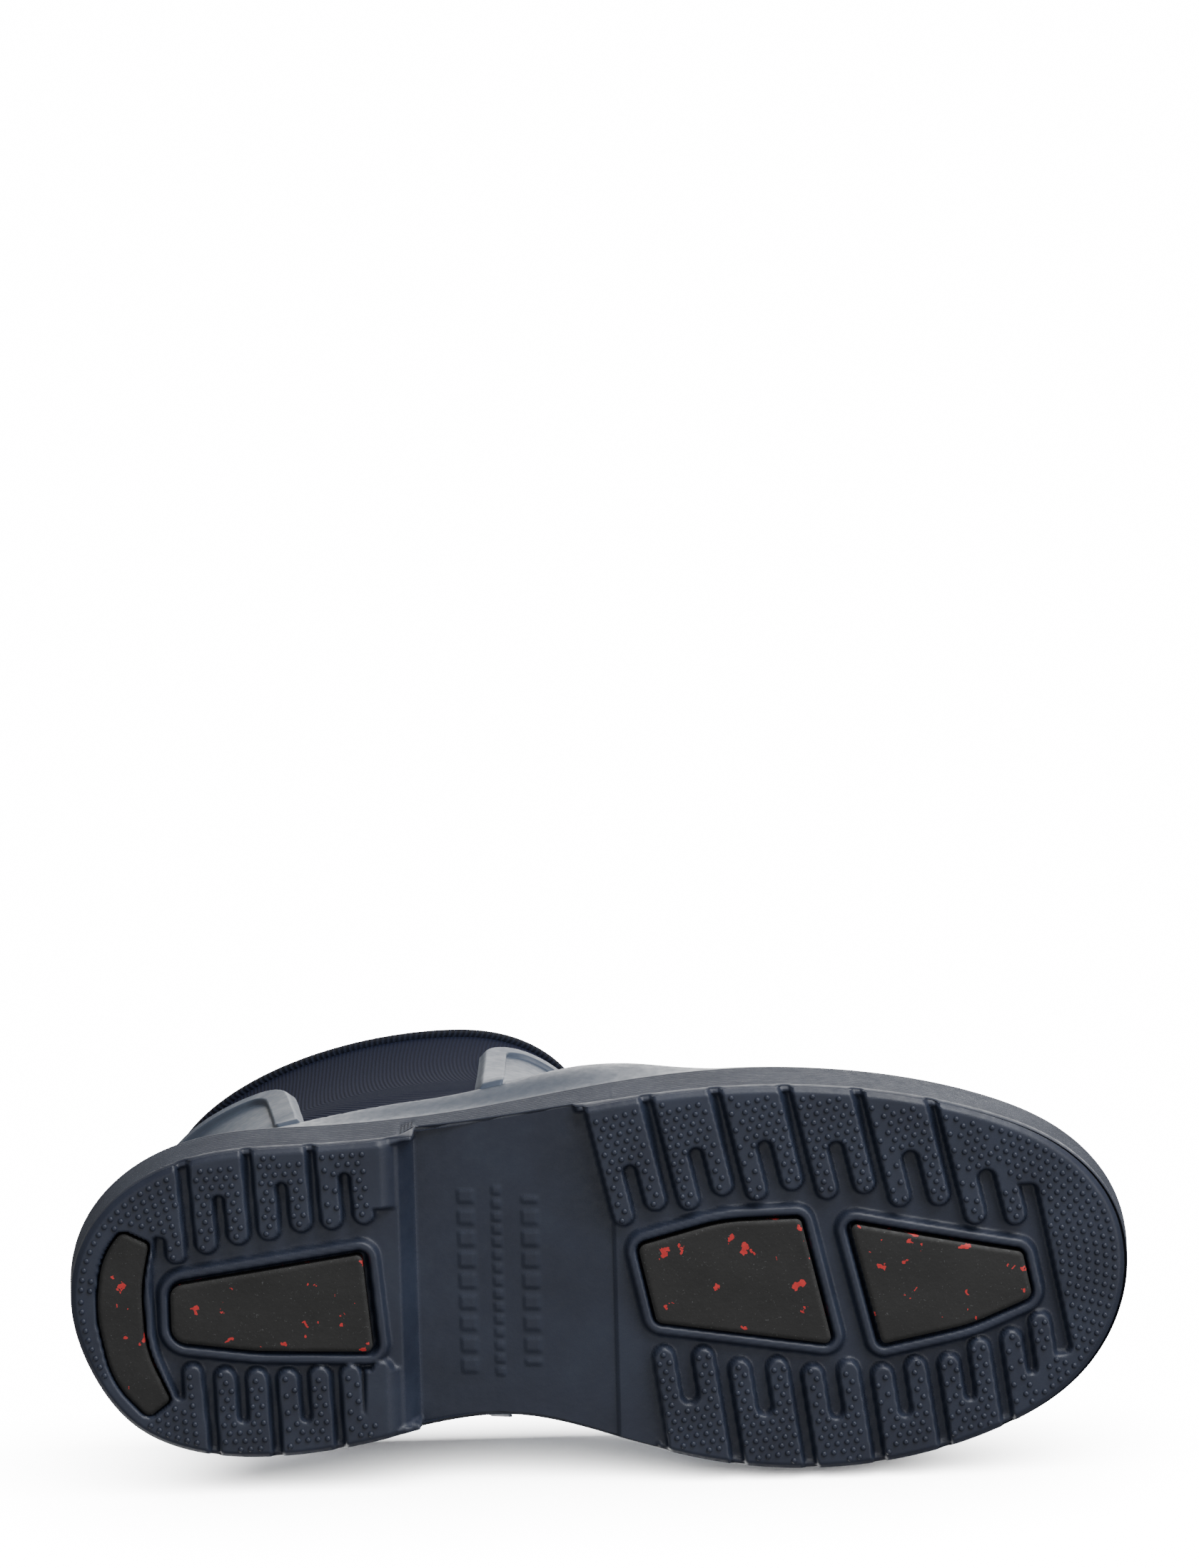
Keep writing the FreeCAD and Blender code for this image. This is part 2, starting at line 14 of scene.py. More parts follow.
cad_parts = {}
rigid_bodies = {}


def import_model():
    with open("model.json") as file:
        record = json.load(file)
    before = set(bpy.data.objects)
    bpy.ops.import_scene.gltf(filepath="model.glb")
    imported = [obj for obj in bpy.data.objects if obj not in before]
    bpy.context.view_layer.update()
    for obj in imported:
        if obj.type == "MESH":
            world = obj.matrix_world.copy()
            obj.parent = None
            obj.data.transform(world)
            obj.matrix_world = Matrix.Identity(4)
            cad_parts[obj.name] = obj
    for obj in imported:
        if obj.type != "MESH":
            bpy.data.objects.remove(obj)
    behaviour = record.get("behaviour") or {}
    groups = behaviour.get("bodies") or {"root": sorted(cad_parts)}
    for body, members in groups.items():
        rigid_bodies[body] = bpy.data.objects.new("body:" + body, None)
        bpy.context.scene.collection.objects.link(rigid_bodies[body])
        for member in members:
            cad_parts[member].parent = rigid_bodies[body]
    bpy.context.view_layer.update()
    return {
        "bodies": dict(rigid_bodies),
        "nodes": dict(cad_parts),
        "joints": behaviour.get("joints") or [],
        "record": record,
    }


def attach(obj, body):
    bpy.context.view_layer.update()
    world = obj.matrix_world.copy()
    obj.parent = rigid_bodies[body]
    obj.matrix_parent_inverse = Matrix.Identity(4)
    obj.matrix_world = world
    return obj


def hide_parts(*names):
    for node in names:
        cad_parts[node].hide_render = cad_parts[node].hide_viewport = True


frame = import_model()
MM = 0.001

# ---- the boot's body, as in the part (millimetres) ----------------------------------
COLLAR_HEIGHT = 155.0
FOXING_SKIN, GALOSH_SKIN, PANEL_SKIN = 4.2, 1.8, 1.3
NEOPRENE, LINING = 4.0, 1.0
TREAD_DEPTH = 4.0
TOE_SPRING_START, TOE_SPRING = 66.0, 7.0
HEEL_FRONT, WAIST_START, WAIST_RISE = -56.0, -47.0, 11.0
BALL_START, WAIST_END = 4.0, 5.0
HINGE_X = 112.0
SOLE_EDGE = [
    (-135.8, 1.0), (-131, 20), (-120, 34.6), (-105, 41.4), (-86, 43.2), (-60, 40.2),
    (-23, 34.6), (5, 41), (30, 47.7), (55, 49.9), (80, 47.4), (105, 39.8), (122, 29.4),
    (132.6, 14.4), (135.8, -1.0), (132.6, -16.2), (120, -31.4), (100, -41.4), (75, -47.6),
    (40, -50.2), (5, -47.4), (-35, -41), (-75, -37.8), (-103, -35.4), (-122, -26.6),
    (-132.4, -14),
]
VAMP_HEIGHT = [(-140, 30), (-90, 34), (-40, 40), (0, 47), (30, 49), (60, 45), (85, 38),
               (110, 34), (140, 31)]
SHAFT = [(0, -100, -14, 20), (20, -104, -6, 26), (42, -114, 10, 40), (62, -119.5, 12, 41.5),
         (85, -119.5, 8, 39.9), (110, -118.8, 3, 39.0), (135, -119.6, 1, 39.5),
         (160, -121, 0.5, 41.3)]
INSOLE_LINE = [(-150, 20.5), (-70, 20.2), (-20, 17.0), (40, 12.6), (80, 13.0), (140, 19.5)]
AXIS_Y = 1.2


def table(rows, x, column=1):
    """Catmull-Rom value of one column of rows at the array x."""
    rows = np.array(rows, float)
    keys, values = rows[:, 0], rows[:, column]
    x = np.clip(x, keys[0], keys[-1])
    slopes = np.empty_like(values)
    slopes[1:-1] = (values[2:] - values[:-2]) / (keys[2:] - keys[:-2])
    slopes[0] = (values[1] - values[0]) / (keys[1] - keys[0])
    slopes[-1] = (values[-1] - values[-2]) / (keys[-1] - keys[-2])
    i = np.clip(np.searchsorted(keys, x, side="right") - 1, 0, len(keys) - 2)
    span = keys[i + 1] - keys[i]
    t = (x - keys[i]) / span
    return ((2 * t**3 - 3 * t**2 + 1) * values[i] + (t**3 - 2 * t**2 + t) * slopes[i] * span
            + (3 * t**2 - 2 * t**3) * values[i + 1] + (t**3 - t**2) * slopes[i + 1] * span)


def ramp(x, low, high):
    """Smooth step from 0 at low to 1 at high."""
    t = np.clip((x - low) / (high - low), 0, 1)
    return t * t * (3 - 2 * t)


def closed_spline(points, count):
    """count points evenly spaced on the periodic cubic spline through points."""
    p = np.array(points, float)
    n = len(p)
    step = np.linalg.norm(np.roll(p, -1, 0) - p, axis=1)
    matrix, right = np.zeros((n, n)), np.zeros((n, 2))
    for i in range(n):
        before, after = step[i - 1], step[i]
        matrix[i, i - 1] += before
        matrix[i, i] += 2 * (before + after)
        matrix[i, (i + 1) % n] += after
        right[i] = 6 * ((p[(i + 1) % n] - p[i]) / after - (p[i] - p[i - 1]) / before)
    bend = np.linalg.solve(matrix, right)
    dense = []
    for i in range(n):
        t = np.linspace(0, step[i], 60, endpoint=False)[:, None]
        j, h = (i + 1) % n, step[i]
        dense.append((bend[i] * (h - t)**3 + bend[j] * t**3) / (6 * h)
                     + (p[i] / h - bend[i] * h / 6) * (h - t) + (p[j] / h - bend[j] * h / 6) * t)
    dense = np.vstack(dense)
    dense = np.vstack([dense, dense[:1]])
    length = np.concatenate([[0], np.cumsum(np.linalg.norm(np.diff(dense, axis=0), axis=1))])
    at = np.linspace(0, length[-1], count, endpoint=False)
    return np.column_stack([np.interp(at, length, dense[:, k]) for k in (0, 1)])


def rounded(corners, bends=14):
    """Outline of straight sides between corners given as (x, y, radius)."""
    points = []
    for i, (x, y, radius) in enumerate(corners):
        here = np.array([x, y], float)
        before, after = (np.array(corners[j][:2]) - here for j in (i - 1, (i + 1) % len(corners)))
        before, after = before / np.linalg.norm(before), after / np.linalg.norm(after)
        half = np.arccos(np.clip(before @ after, -1, 1)) / 2
        middle = here + (before + after) / np.linalg.norm(before + after) * radius / sin(half)
        start = here + before * radius / np.tan(half) - middle
        end = here + after * radius / np.tan(half) - middle
        if not radius:
            points.append(here)
            continue
        for t in np.linspace(0, 1, bends):
            arm = start * (1 - t) + end * t
            points.append(middle + arm / np.linalg.norm(arm) * radius)
    return np.array(points)


def inside_distance(outline, x, y):
    """Distance to a closed outline, positive inside it."""
    best = np.full(x.shape, 1e9)
    inside = np.zeros(x.shape, bool)
    for (ax, ay), (bx, by) in zip(outline, np.roll(outline, -1, 0)):
        dx, dy = bx - ax, by - ay
        t = np.clip(((x - ax) * dx + (y - ay) * dy) / (dx * dx + dy * dy + 1e-12), 0, 1)
        best = np.minimum(best, (x - ax - t * dx)**2 + (y - ay - t * dy)**2)
        if dy:
            inside ^= ((y >= ay) != (y >= by)) & (x < ax + (y - ay) * dx / dy)
    return np.where(inside, 1, -1) * np.sqrt(best)


def look_up(values, u, v):
    """Bilinear value of a grid at the fractional indices u, v."""
    u = np.clip(u, 0, values.shape[0] - 1.001)
    v = np.clip(v, 0, values.shape[1] - 1.001)
    i, j = u.astype(int), v.astype(int)
    a, b = u - i, v - j
    return ((1 - a) * (1 - b) * values[i, j] + a * (1 - b) * values[i + 1, j]
            + (1 - a) * b * values[i, j + 1] + a * b * values[i + 1, j + 1])


EDGE = closed_spline(SOLE_EDGE, 720)
GRID_STEP = 0.5
GRID_X, GRID_Y = np.arange(-152, 152.1, GRID_STEP), np.arange(-72, 72.1, GRID_STEP)
EDGE_GRID = inside_distance(EDGE[::2], *np.meshgrid(GRID_X, GRID_Y, indexing="ij"))


def edge_distance(x, y):
    """Distance inwards from the sole edge."""
    return look_up(EDGE_GRID, (x - GRID_X[0]) / GRID_STEP, (y - GRID_Y[0]) / GRID_STEP)


def boot_level(x, y, z):
    """Neoprene surface at 0, positive outside, about a millimetre per unit."""
    inset = edge_distance(x, y) - FOXING_SKIN + 0.1 * np.clip(z, 0, 26)
    rise = np.maximum(z - 22, 0) / table(VAMP_HEIGHT, x)
    across = np.maximum(0, 1 - inset / 46)
    foot = 46 * ((rise**2.3 + across**2.3)**(1 / 2.3) - 1)
    back, front, half = (table(SHAFT, z, k) for k in (1, 2, 3))
    widest = back + 0.66 * (front - back)
    ahead = x > widest
    along = np.abs(x - widest) / np.where(ahead, front - widest, widest - back)
    power = np.where(ahead, 2.3, 1.85)
    leg = 44 * ((along**power + (np.abs(y - AXIS_Y) / half)**power)**(1 / power) - 1)
    blend = 14 + 30 * ramp(x, -45, 15)
    mix = np.maximum(blend - np.abs(foot - leg), 0) / blend
    return np.minimum(foot, leg) - mix * mix * blend / 4


def pierce(base, direction, depth, reach=170.0):
    """Points where the rays from base leave the body moved inwards by depth."""
    shape = np.broadcast_shapes(base.shape[:-1], direction.shape[:-1], np.shape(depth))
    low, high = np.zeros(shape), np.full(shape, reach)
    for _ in range(22):
        middle = (low + high) / 2
        p = base + direction * middle[..., None]
        within = boot_level(p[..., 0], p[..., 1], p[..., 2]) < -depth
        low, high = np.where(within, middle, low), np.where(within, high, middle)
    return base + direction * low[..., None]


def spring(x):
    return TOE_SPRING * (np.maximum(x - TOE_SPRING_START, 0) / (136 - TOE_SPRING_START))**2


def underside(x):
    """Height of the tread faces and of the waist at x."""
    breast = WAIST_RISE * np.clip((x - HEEL_FRONT) / (WAIST_START - HEEL_FRONT), 0, 1)**1.6
    waist = WAIST_RISE + (WAIST_END - WAIST_RISE) * (x - WAIST_START) / (BALL_START - WAIST_START)
    return np.where(x < WAIST_START, breast, np.where(x < BALL_START, waist, spring(x)))


# ---- meshes -------------------------------------------------------------------------


def make_mesh(name, points, faces, uv=None):
    """Object from points in millimetres; uv is one pair per point."""
    mesh = bpy.data.meshes.new(name)
    points = np.asarray(points, float).reshape(-1, 3) * MM
    mesh.from_pydata(points.tolist(), [], faces.tolist() if hasattr(faces, "tolist") else faces)
    if uv is not None:
        layer = mesh.uv_layers.new(name="UVMap")
        index = np.empty(len(mesh.loops), int)
        mesh.loops.foreach_get("vertex_index", index)
        layer.data.foreach_set("uv", np.asarray(uv, float).reshape(-1, 2)[index].ravel())
    mesh.polygons.foreach_set("use_smooth", [True] * len(mesh.polygons))
    mesh.update()
    obj = bpy.data.objects.new(name, mesh)
    bpy.context.scene.collection.objects.link(obj)
    return obj


def grid_object(name, points, uv=None):
    """Object from a (rows, columns, 3) array of points."""
    rows, columns = points.shape[:2]
    corner = np.arange(rows - 1)[:, None] * columns + np.arange(columns - 1)
    faces = np.stack([corner, corner + 1, corner + columns + 1, corner + columns], -1)
    return make_mesh(name, points, faces.reshape(-1, 4), uv)


def relief(name, distance, height, box, step, skirt):
    """Surface z = height(x, y) where distance(x, y) > 0, with a wall up to skirt(x, y)."""
    x0, x1, y0, y1 = box
    xs, ys = np.arange(x0, x1, step), np.arange(y0, y1, step)
    x, y = np.meshgrid(xs, ys, indexing="ij")
    cell = distance(x[:-1, :-1] + step / 2, y[:-1, :-1] + step / 2) > 0
    padded = np.pad(cell, 1)
    around = (padded[:-1, :-1].astype(int) + padded[1:, :-1] + padded[:-1, 1:] + padded[1:, 1:])
    border, used = (around > 0) & (around < 4), around > 0
    for _ in range(3):
        bx, by = x[border], y[border]
        d = distance(bx, by)
        gx = (distance(bx + 0.2, by) - distance(bx - 0.2, by)) / 0.4
        gy = (distance(bx, by + 0.2) - distance(bx, by - 0.2)) / 0.4
        size = np.maximum(gx * gx + gy * gy, 0.3)
        x[border], y[border] = bx - d * gx / size, by - d * gy / size
    index = np.cumsum(used.ravel()).reshape(used.shape) - 1
    points = np.column_stack([x[used], y[used], height(x[used], y[used])])
    i, j = np.nonzero(cell)
    faces = np.column_stack([index[i, j], index[i, j + 1], index[i + 1, j + 1], index[i + 1, j]])
    rim = []
    for off, (da, db) in (((-1, 0), ((0, 0), (0, 1))), ((1, 0), ((1, 1), (1, 0))),
                          ((0, -1), ((1, 0), (0, 0))), ((0, 1), ((0, 1), (1, 1)))):
        open_side = cell & ~padded[1 + off[0]:padded.shape[0] - 1 + off[0],
                                   1 + off[1]:padded.shape[1] - 1 + off[1]]
        i, j = np.nonzero(open_side)
        rim.append(np.column_stack([index[i + da[0], j + da[1]], index[i + db[0], j + db[1]]]))
    rim = np.vstack(rim)
    count = len(points)
    top = points[rim.ravel()].copy()
    top[:, 2] = skirt(top[:, 0], top[:, 1])
    low = points[rim.ravel()]
    points = np.vstack([points, low, top])
    k = count + 2 * np.arange(len(rim))
    wall = np.column_stack([k, k + 2 * len(rim), k + 1 + 2 * len(rim), k + 1])
    return make_mesh(name, points, np.vstack([faces, wall]))


# ---- tread --------------------------------------------------------------------------
FACE = 0.6                   # lug faces above the ground; the nubs on them reach it
FINGER, SLOT_LENGTH, LUG_REACH = 2.7, 12.5, 30
BALL_TREAD_START = -8.0
FAR_OUTSIDE = -9.0           # distance that stands for well outside an outline
FRAME_WIDTH, FRAME_LEVEL, INSERT_LEVEL, POCKET_DEPTH = 3.2, 1.3, 1.0, 5.6
FLANGE_WIDTH, FLANGE_LEVEL, CHAMFER = 1.3, 2.2, 1.1
OUTER_TIPS = [(-112, -8), (-95, -12), (-60, -17), (5, -16), (30, -21), (55, -22), (80, -19),
              (108, -11)]
INNER_TIPS = [(-108, 18.5), (-85, 20.3), (-56, 18.8), (10, 16), (40, 21), (62, 22.6),
              (85, 21.6), (116, 11)]
LUGS = ([(-96.3 + 16.2 * k, 4.2, 0.06, -1) for k in range(3)]
        + [(-93.0 + 16.2 * k, 4.1, 0.04, 1) for k in range(3)]
        + [(11.4 + 16.7 * k + 0.32 * k * k, 4.5 + 0.1 * k, 0.23, -1) for k in range(6)]
        + [(20.9 + 19.7 * k - 0.4 * k * k, 5.0 - 0.2 * k, 0.14, 1) for k in range(6)])
HEEL_BLOCK = [(-150, -70, 0), (-110.4, -70, 0), (-105.8, -8.1, 2.3), (-110.8, -8.3, 2.3),
              (-111.2, -14.8, 0.9), (-113.9, -15.6, 0.9), (-115.4, -3, 30), (-114.8, 13, 25),
              (-109.4, 27.4, 0.8), (-107.5, 27.0, 0.7), (-107.9, 18.5, 2.3), (-103.0, 18.4, 2.3),
              (-99.6, 70, 0), (-150, 70, 0)]
BREAST_BLOCKS = [[(-62, side * 70, 0), (-61, side * 21, 0), (-46, side * 21, 0),
                  (-46, side * 70, 0)] for side in (-1, 1)]
TOE_BLOCK = [(92, -70, 0), (104, -22.6, 0), (113.0, -22.6, 1.6), (121.9, 22.2, 1.7),
             (113, 22.8, 0), (113, 70, 0), (150, 70, 0), (150, -70, 0)]
HEEL_POCKET = [(-110.6, -3.0, 4), (-59.6, -10.4, 2.2), (-57.2, 16.9, 2.5), (-88, 15.8, 40),
               (-110.6, 12.8, 5)]
BALL_REAR_POCKET = [(9.6, -10.0, 2.5), (32, -15.9, 50), (52.4, -16.3, 2), (60.3, 17.8, 2),
                    (14.2, 10.8, 2.5)]
BALL_FRONT_POCKET = [(63.4, -15.0, 2), (109.4, -5.4, 2.5), (112, 7.4, 3), (95.5, 13.9, 50),
                     (71.6, 18.6, 2)]
CRESCENT_POCKET = [(-122.4, -17.6, 2.5), (-114.8, -13.9, 2), (-117.4, -2, 40), (-116.6, 14, 30),
                   (-110.6, 27.7, 2), (-117.0, 32.6, 2.5), (-126.2, 22.8, 25), (-130.0, 4, 35),
                   (-128.0, -10.8, 20)]


class Grid:
    def __init__(self, outline, step=0.25):
        low, high = outline.min(0) - 8, outline.max(0) + 8
        self.low, self.step = low, step
        axes = [np.arange(low[k], high[k] + step, step) for k in (0, 1)]
        self.values = inside_distance(outline, *np.meshgrid(*axes, indexing="ij"))

    def __call__(self, x, y):
        return look_up(self.values, (x - self.low[0]) / self.step, (y - self.low[1]) / self.step)


FRAMES = {name: Grid(rounded(rows)) for name, rows in (
    ("heel_centre", HEEL_POCKET), ("forefoot_rear", BALL_REAR_POCKET),
    ("forefoot_front", BALL_FRONT_POCKET))}
CRESCENT = Grid(rounded(CRESCENT_POCKET))
BLOCKS = [Grid(rounded(rows), 0.4) for rows in (HEEL_BLOCK, TOE_BLOCK, *BREAST_BLOCKS)]


def lug_axes(x, y, lug):
    """Position across and along a lug, outwards from its finger tips."""
    middle, _, lean, side = lug
    tips = OUTER_TIPS if side < 0 else INNER_TIPS
    size = hypot(1, lean)
    dx, dy = x - middle, y - table(tips, np.array(middle))
    return (dx - lean * dy) / size, side * (lean * dx + dy) / size


def lug_distance(x, y, lug):
    """Distance to a lug with two round-ended fingers, positive inside it."""
    middle, spread, _, side = lug
    tips = OUTER_TIPS if side < 0 else INNER_TIPS
    a, o = lug_axes(x, y, lug)
    slot = spread - FINGER
    walls = np.minimum(spread + FINGER - np.abs(a),
                       np.where(o < SLOT_LENGTH, np.abs(a), np.hypot(a, o - SLOT_LENGTH)) - slot)
    sign = np.where(a < 0, -1.0, 1.0)
    drop = side * (table(tips, middle + sign * spread) - table(tips, np.array(middle)))
    tip = FINGER - np.hypot(a - sign * spread, o - drop - FINGER)
    d = np.where(o < drop + FINGER, tip, walls)
    slope = 1 + 2.6 * ramp(o, 8, 26) * (a > spread) * (side < 0)
    return np.where(d < 0, d / slope, d)


def lugs_distance(x, y):
    """Distance to the nearest lug or block."""
    best = np.max([block(x, y) for block in BLOCKS], axis=0)
    for lug in LUGS:
        near = np.abs(x - lug[0]) < LUG_REACH
        best[near] = np.maximum(best[near], lug_distance(x[near], y[near], lug))
    return best


def tread_height(x, y):
    """Underside of the outsole."""
    rise = spring(x)
    floor = np.maximum(underside(x), TREAD_DEPTH + rise)
    face = np.where(x < WAIST_START, underside(x), rise) + FACE
    edge = edge_distance(x, y)
    z = floor
    tread = (x < WAIST_START) | (x > BALL_TREAD_START)
    frame = np.full(x.shape, FAR_OUTSIDE)
    pocket = CRESCENT(x, y)
    for grid in FRAMES.values():
        d = grid(x, y)
        frame = np.maximum(frame, d + FRAME_WIDTH)
        pocket = np.maximum(pocket, d)
    lugs = lugs_distance(x, y)
    share = np.where(tread, ramp(lugs, -0.45, 0.35), 0)
    share = share * ramp(frame, 1.2, 0.2)
    z = z + (np.minimum(face, floor) - z) * share
    share = np.where(tread, ramp(edge, FLANGE_WIDTH + 0.5, FLANGE_WIDTH - 0.5), 0)
    share = share * ramp(lugs, -3.0, -2.0)
    z = np.minimum(z, floor + (np.minimum(FLANGE_LEVEL + rise, floor) - floor) * share)
    round_top = ramp(frame, -0.35, 0.9) * ramp(frame, FRAME_WIDTH + 0.3, FRAME_WIDTH - 0.8)
    z = np.minimum(z, floor + (FRAME_LEVEL + rise - floor) * round_top)
    z = z + CHAMFER * ramp(edge, 1.3, 0.0) * ramp(z, floor, floor - 2.0)
    inside = ramp(pocket, -0.2, 0.3)
    z = z + (POCKET_DEPTH + rise - z) * inside
    return z + lettering_bars(x, y)


def lettering_bars(x, y):
    """Three rows of plain low bars across the waist."""
    depth = np.zeros(x.shape)
    for middle, width, pitch, reach in ((-34.0, 4.2, 5.6, 24), (-26.0, 2.2, 3.4, 26),
                                        (-17.5, 4.2, 5.6, 22)):
        cell = (y + 0.5 * pitch) % pitch - 0.5 * pitch
        bar = np.minimum(width / 2 - np.abs(x - middle), pitch * 0.33 - np.abs(cell))
        depth = np.maximum(depth, ramp(bar, -0.25, 0.25) * ramp(np.abs(y), reach + 0.3, reach))
    return -0.35 * depth


PIECES = {}


def keep(name, obj, body="boot", nodes=(), material=None):
    """Registers a finished piece: its body, the CAD nodes it stands for and its finish."""
    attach(obj, body)
    if nodes:
        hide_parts(*nodes)
    PIECES[name] = (obj, material)
    return obj


SOLE_BACK = 9.0              # height at which the tread's outer wall ends, behind the ribs
keep("sole_tread", relief("sole_tread", edge_distance, tread_height, (-138, 138, -54, 54), 0.55,
                          lambda x, y: SOLE_BACK + 0 * x), nodes=("outsole",), material="sole")


def nub_places():
    """Centres of the small domes on the lug faces and on the heel and toe blocks."""
    places, pitch = [], 2.55
    for lug in LUGS:
        middle, _, lean, side = lug
        size = hypot(1, lean)
        tip = table(OUTER_TIPS if side < 0 else INNER_TIPS, np.array(middle))
        out = np.array([side * lean / size, side / size])
        across = np.array([1 / size, -lean / size])
        for k, o in enumerate(np.arange(-3.5, 44, pitch * 0.87)):
            for a in np.arange(-4, 4.5) * pitch + (k % 2) * pitch / 2:
                places.append(np.array([middle, tip]) + across * a + out * o)
    places = np.array(places)
    d = np.full(len(places), FAR_OUTSIDE)
    for lug in LUGS:
        near = np.abs(places[:, 0] - lug[0]) < LUG_REACH
        d[near] = np.maximum(d[near], lug_distance(places[near, 0], places[near, 1], lug))
    block = np.maximum(BLOCKS[0](*places.T), BLOCKS[1](*places.T))
    places = places[(d > 0.95) & (block <= -0.4)]
    ring = []
    outline = EDGE[::2]
    tangent = np.roll(outline, -1, 0) - np.roll(outline, 1, 0)
    tangent /= np.linalg.norm(tangent, axis=1)[:, None]
    for k in range(14):
        inset = 2.6 + k * pitch * 0.9
        inner = outline + inset * np.column_stack([tangent[:, 1], -tangent[:, 0]])
        inner = inner[edge_distance(*inner.T) > inset - 0.15]
        step = np.linalg.norm(np.diff(inner, axis=0), axis=1)
        length = np.concatenate([[0], np.cumsum(np.where(step > 8, 0, step))])
        at = np.arange((k % 2) * pitch / 2, length[-1], pitch)
        ring.append(np.column_stack([np.interp(at, length, inner[:, j]) for j in (0, 1)]))
    ring = np.vstack(ring)
    block = np.maximum(BLOCKS[0](*ring.T), BLOCKS[1](*ring.T))
    ring = ring[block > 1.1]
    places = np.vstack([places, ring])
    frame = np.max([grid(*places.T) for grid in FRAMES.values()], axis=0) + FRAME_WIDTH
    clear = (edge_distance(*places.T) > 2.1) & (CRESCENT(*places.T) < -1.5) & (frame < -1.3)
    on_tread = (places[:, 0] < HEEL_FRONT - 2.5) | (places[:, 0] > BALL_TREAD_START)
    places = places[clear & on_tread]
    chosen = []
    for p in places:
        if all((p[0] - q[0])**2 + (p[1] - q[1])**2 > 4.4 for q in chosen[-500:]):
            chosen.append(p)
    return np.array(chosen)


NUB, NUB_SIDES = 0.78, 10    # radius and facets of a dome
NUB_PROFILE = [(1.0, -0.5), (0.95, 0.22), (0.7, 0.48), (0.34, 0.6)]


def make_nubs():
    """Small rubber domes."""
    turn = np.arange(NUB_SIDES) * 2 * pi / NUB_SIDES
    points, faces = [], []
    for x, y in nub_places():
        base = FACE + float(spring(np.array(x)))
        start = len(points)
        for radius, height in NUB_PROFILE:
            for a in turn:
                points.append((x + NUB * radius * cos(a), y + NUB * radius * sin(a), base - height))
        for row in range(start, start + (len(NUB_PROFILE) - 1) * NUB_SIDES, NUB_SIDES):
            for c in range(NUB_SIDES):
                a, b = row + c, row + (c + 1) % NUB_SIDES
                faces.append((b, a, a + NUB_SIDES, b + NUB_SIDES))
        faces.append(tuple(range(len(points) - 1, len(points) - 1 - NUB_SIDES, -1)))
    return make_mesh("sole_nubs", points, faces)


keep("sole_nubs", make_nubs(), material="sole")

# ---- grip inserts -------------------------------------------------------------------
# clearance around each insert, then how far it sits off centre in x and y
GAP = {"heel_centre": (0.8, -0.5, 0.15), "forefoot_rear": (0.45, 0.0, 0.1),
       "forefoot_front": (0.7, 0.35, -0.1), "heel_rear": (0.5, 0.0, 0.1)}
SCUFFS = 0.05


def insert_shape(grid, gap, dx, dy):
    """Outline distance and underside of an insert that sits a little off centre."""
    def distance(x, y):
        return grid(x - dx, y - dy) - gap

    def height(x, y):
        wave = SCUFFS * (np.sin(x * 0.31 + y * 0.17) + np.sin(x * 0.11 - y * 0.37))
        return INSERT_LEVEL + spring(x) + 0.45 * ramp(0.7 - distance(x, y), 0, 0.7) + wave
    return distance, height


for name, grid in list(FRAMES.items()) + [("heel_rear", CRESCENT)]:
    distance, height = insert_shape(grid, *GAP[name])
    low, far = grid.low, grid.low + grid.step * np.array(grid.values.shape)
    obj = relief("grip_" + name, distance, height, (low[0], far[0], low[1], far[1]), 0.5,
                 lambda x, y: POCKET_DEPTH + spring(x))
    keep("grip_" + name, obj, nodes=("grip_insert_" + name,), material="grip")

# ---- side wall ----------------------------------------------------------------------
SPOKES = 720
OUTLINE = EDGE[::len(EDGE) // SPOKES]
SPINE = np.column_stack([np.clip(OUTLINE[:, 0], -84, 80), np.zeros(len(OUTLINE))])
SPOKE = OUTLINE - SPINE
SPOKE /= np.linalg.norm(SPOKE, axis=1)[:, None]
RIBS = 10
RIB_LOW, RIB_HIGH = 4.5, 20.0


def wall_points(level, depth, columns=slice(None)):
    """Points of the side wall: level and depth are (rows, spokes) arrays in millimetres."""
    base = np.zeros(level.shape + (3,))
    base[..., 0], base[..., 1], base[..., 2] = SPINE[columns, 0], SPINE[columns, 1], level
    direction = np.zeros(level.shape + (3,))
    direction[..., 0], direction[..., 1] = SPOKE[columns, 0], SPOKE[columns, 1]
    return pierce(base, direction, depth, 70.0)


def closed(points):
    """The grid with its first column repeated at the end."""
    return np.concatenate([points, points[:, :1]], axis=1)


def rib_lines():
    """x of each spoke, and the levels where the ribs start and end there."""
    x = OUTLINE[:, 0]
    low = np.maximum(underside(x), RIB_LOW + spring(x))
    return x, low, RIB_HIGH + 0.5 * spring(x)


def make_sole_edge():
    """Smooth strip between the tread and the ribs."""
    x, low, _ = rib_lines()
    start = tread_height(*(OUTLINE + 0.02 * -SPOKE).T)
    share = np.linspace(0, 1, 9)[:, None]
    level = start + (low + 0.3 - start) * share
    depth = -FOXING_SKIN + 0.35 * ramp(share, 0.75, 1.0) + 0.25 * (1 - share)**4 + 0 * level
    back = np.array([[0.5], [1.5]]) + np.zeros(SPOKES)
    level = np.vstack([level, low + 0.4 + 0 * back])
    depth = np.vstack([depth, -FOXING_SKIN + 0.4 + back])
    return grid_object("sole_edge", closed(wall_points(level, depth)))


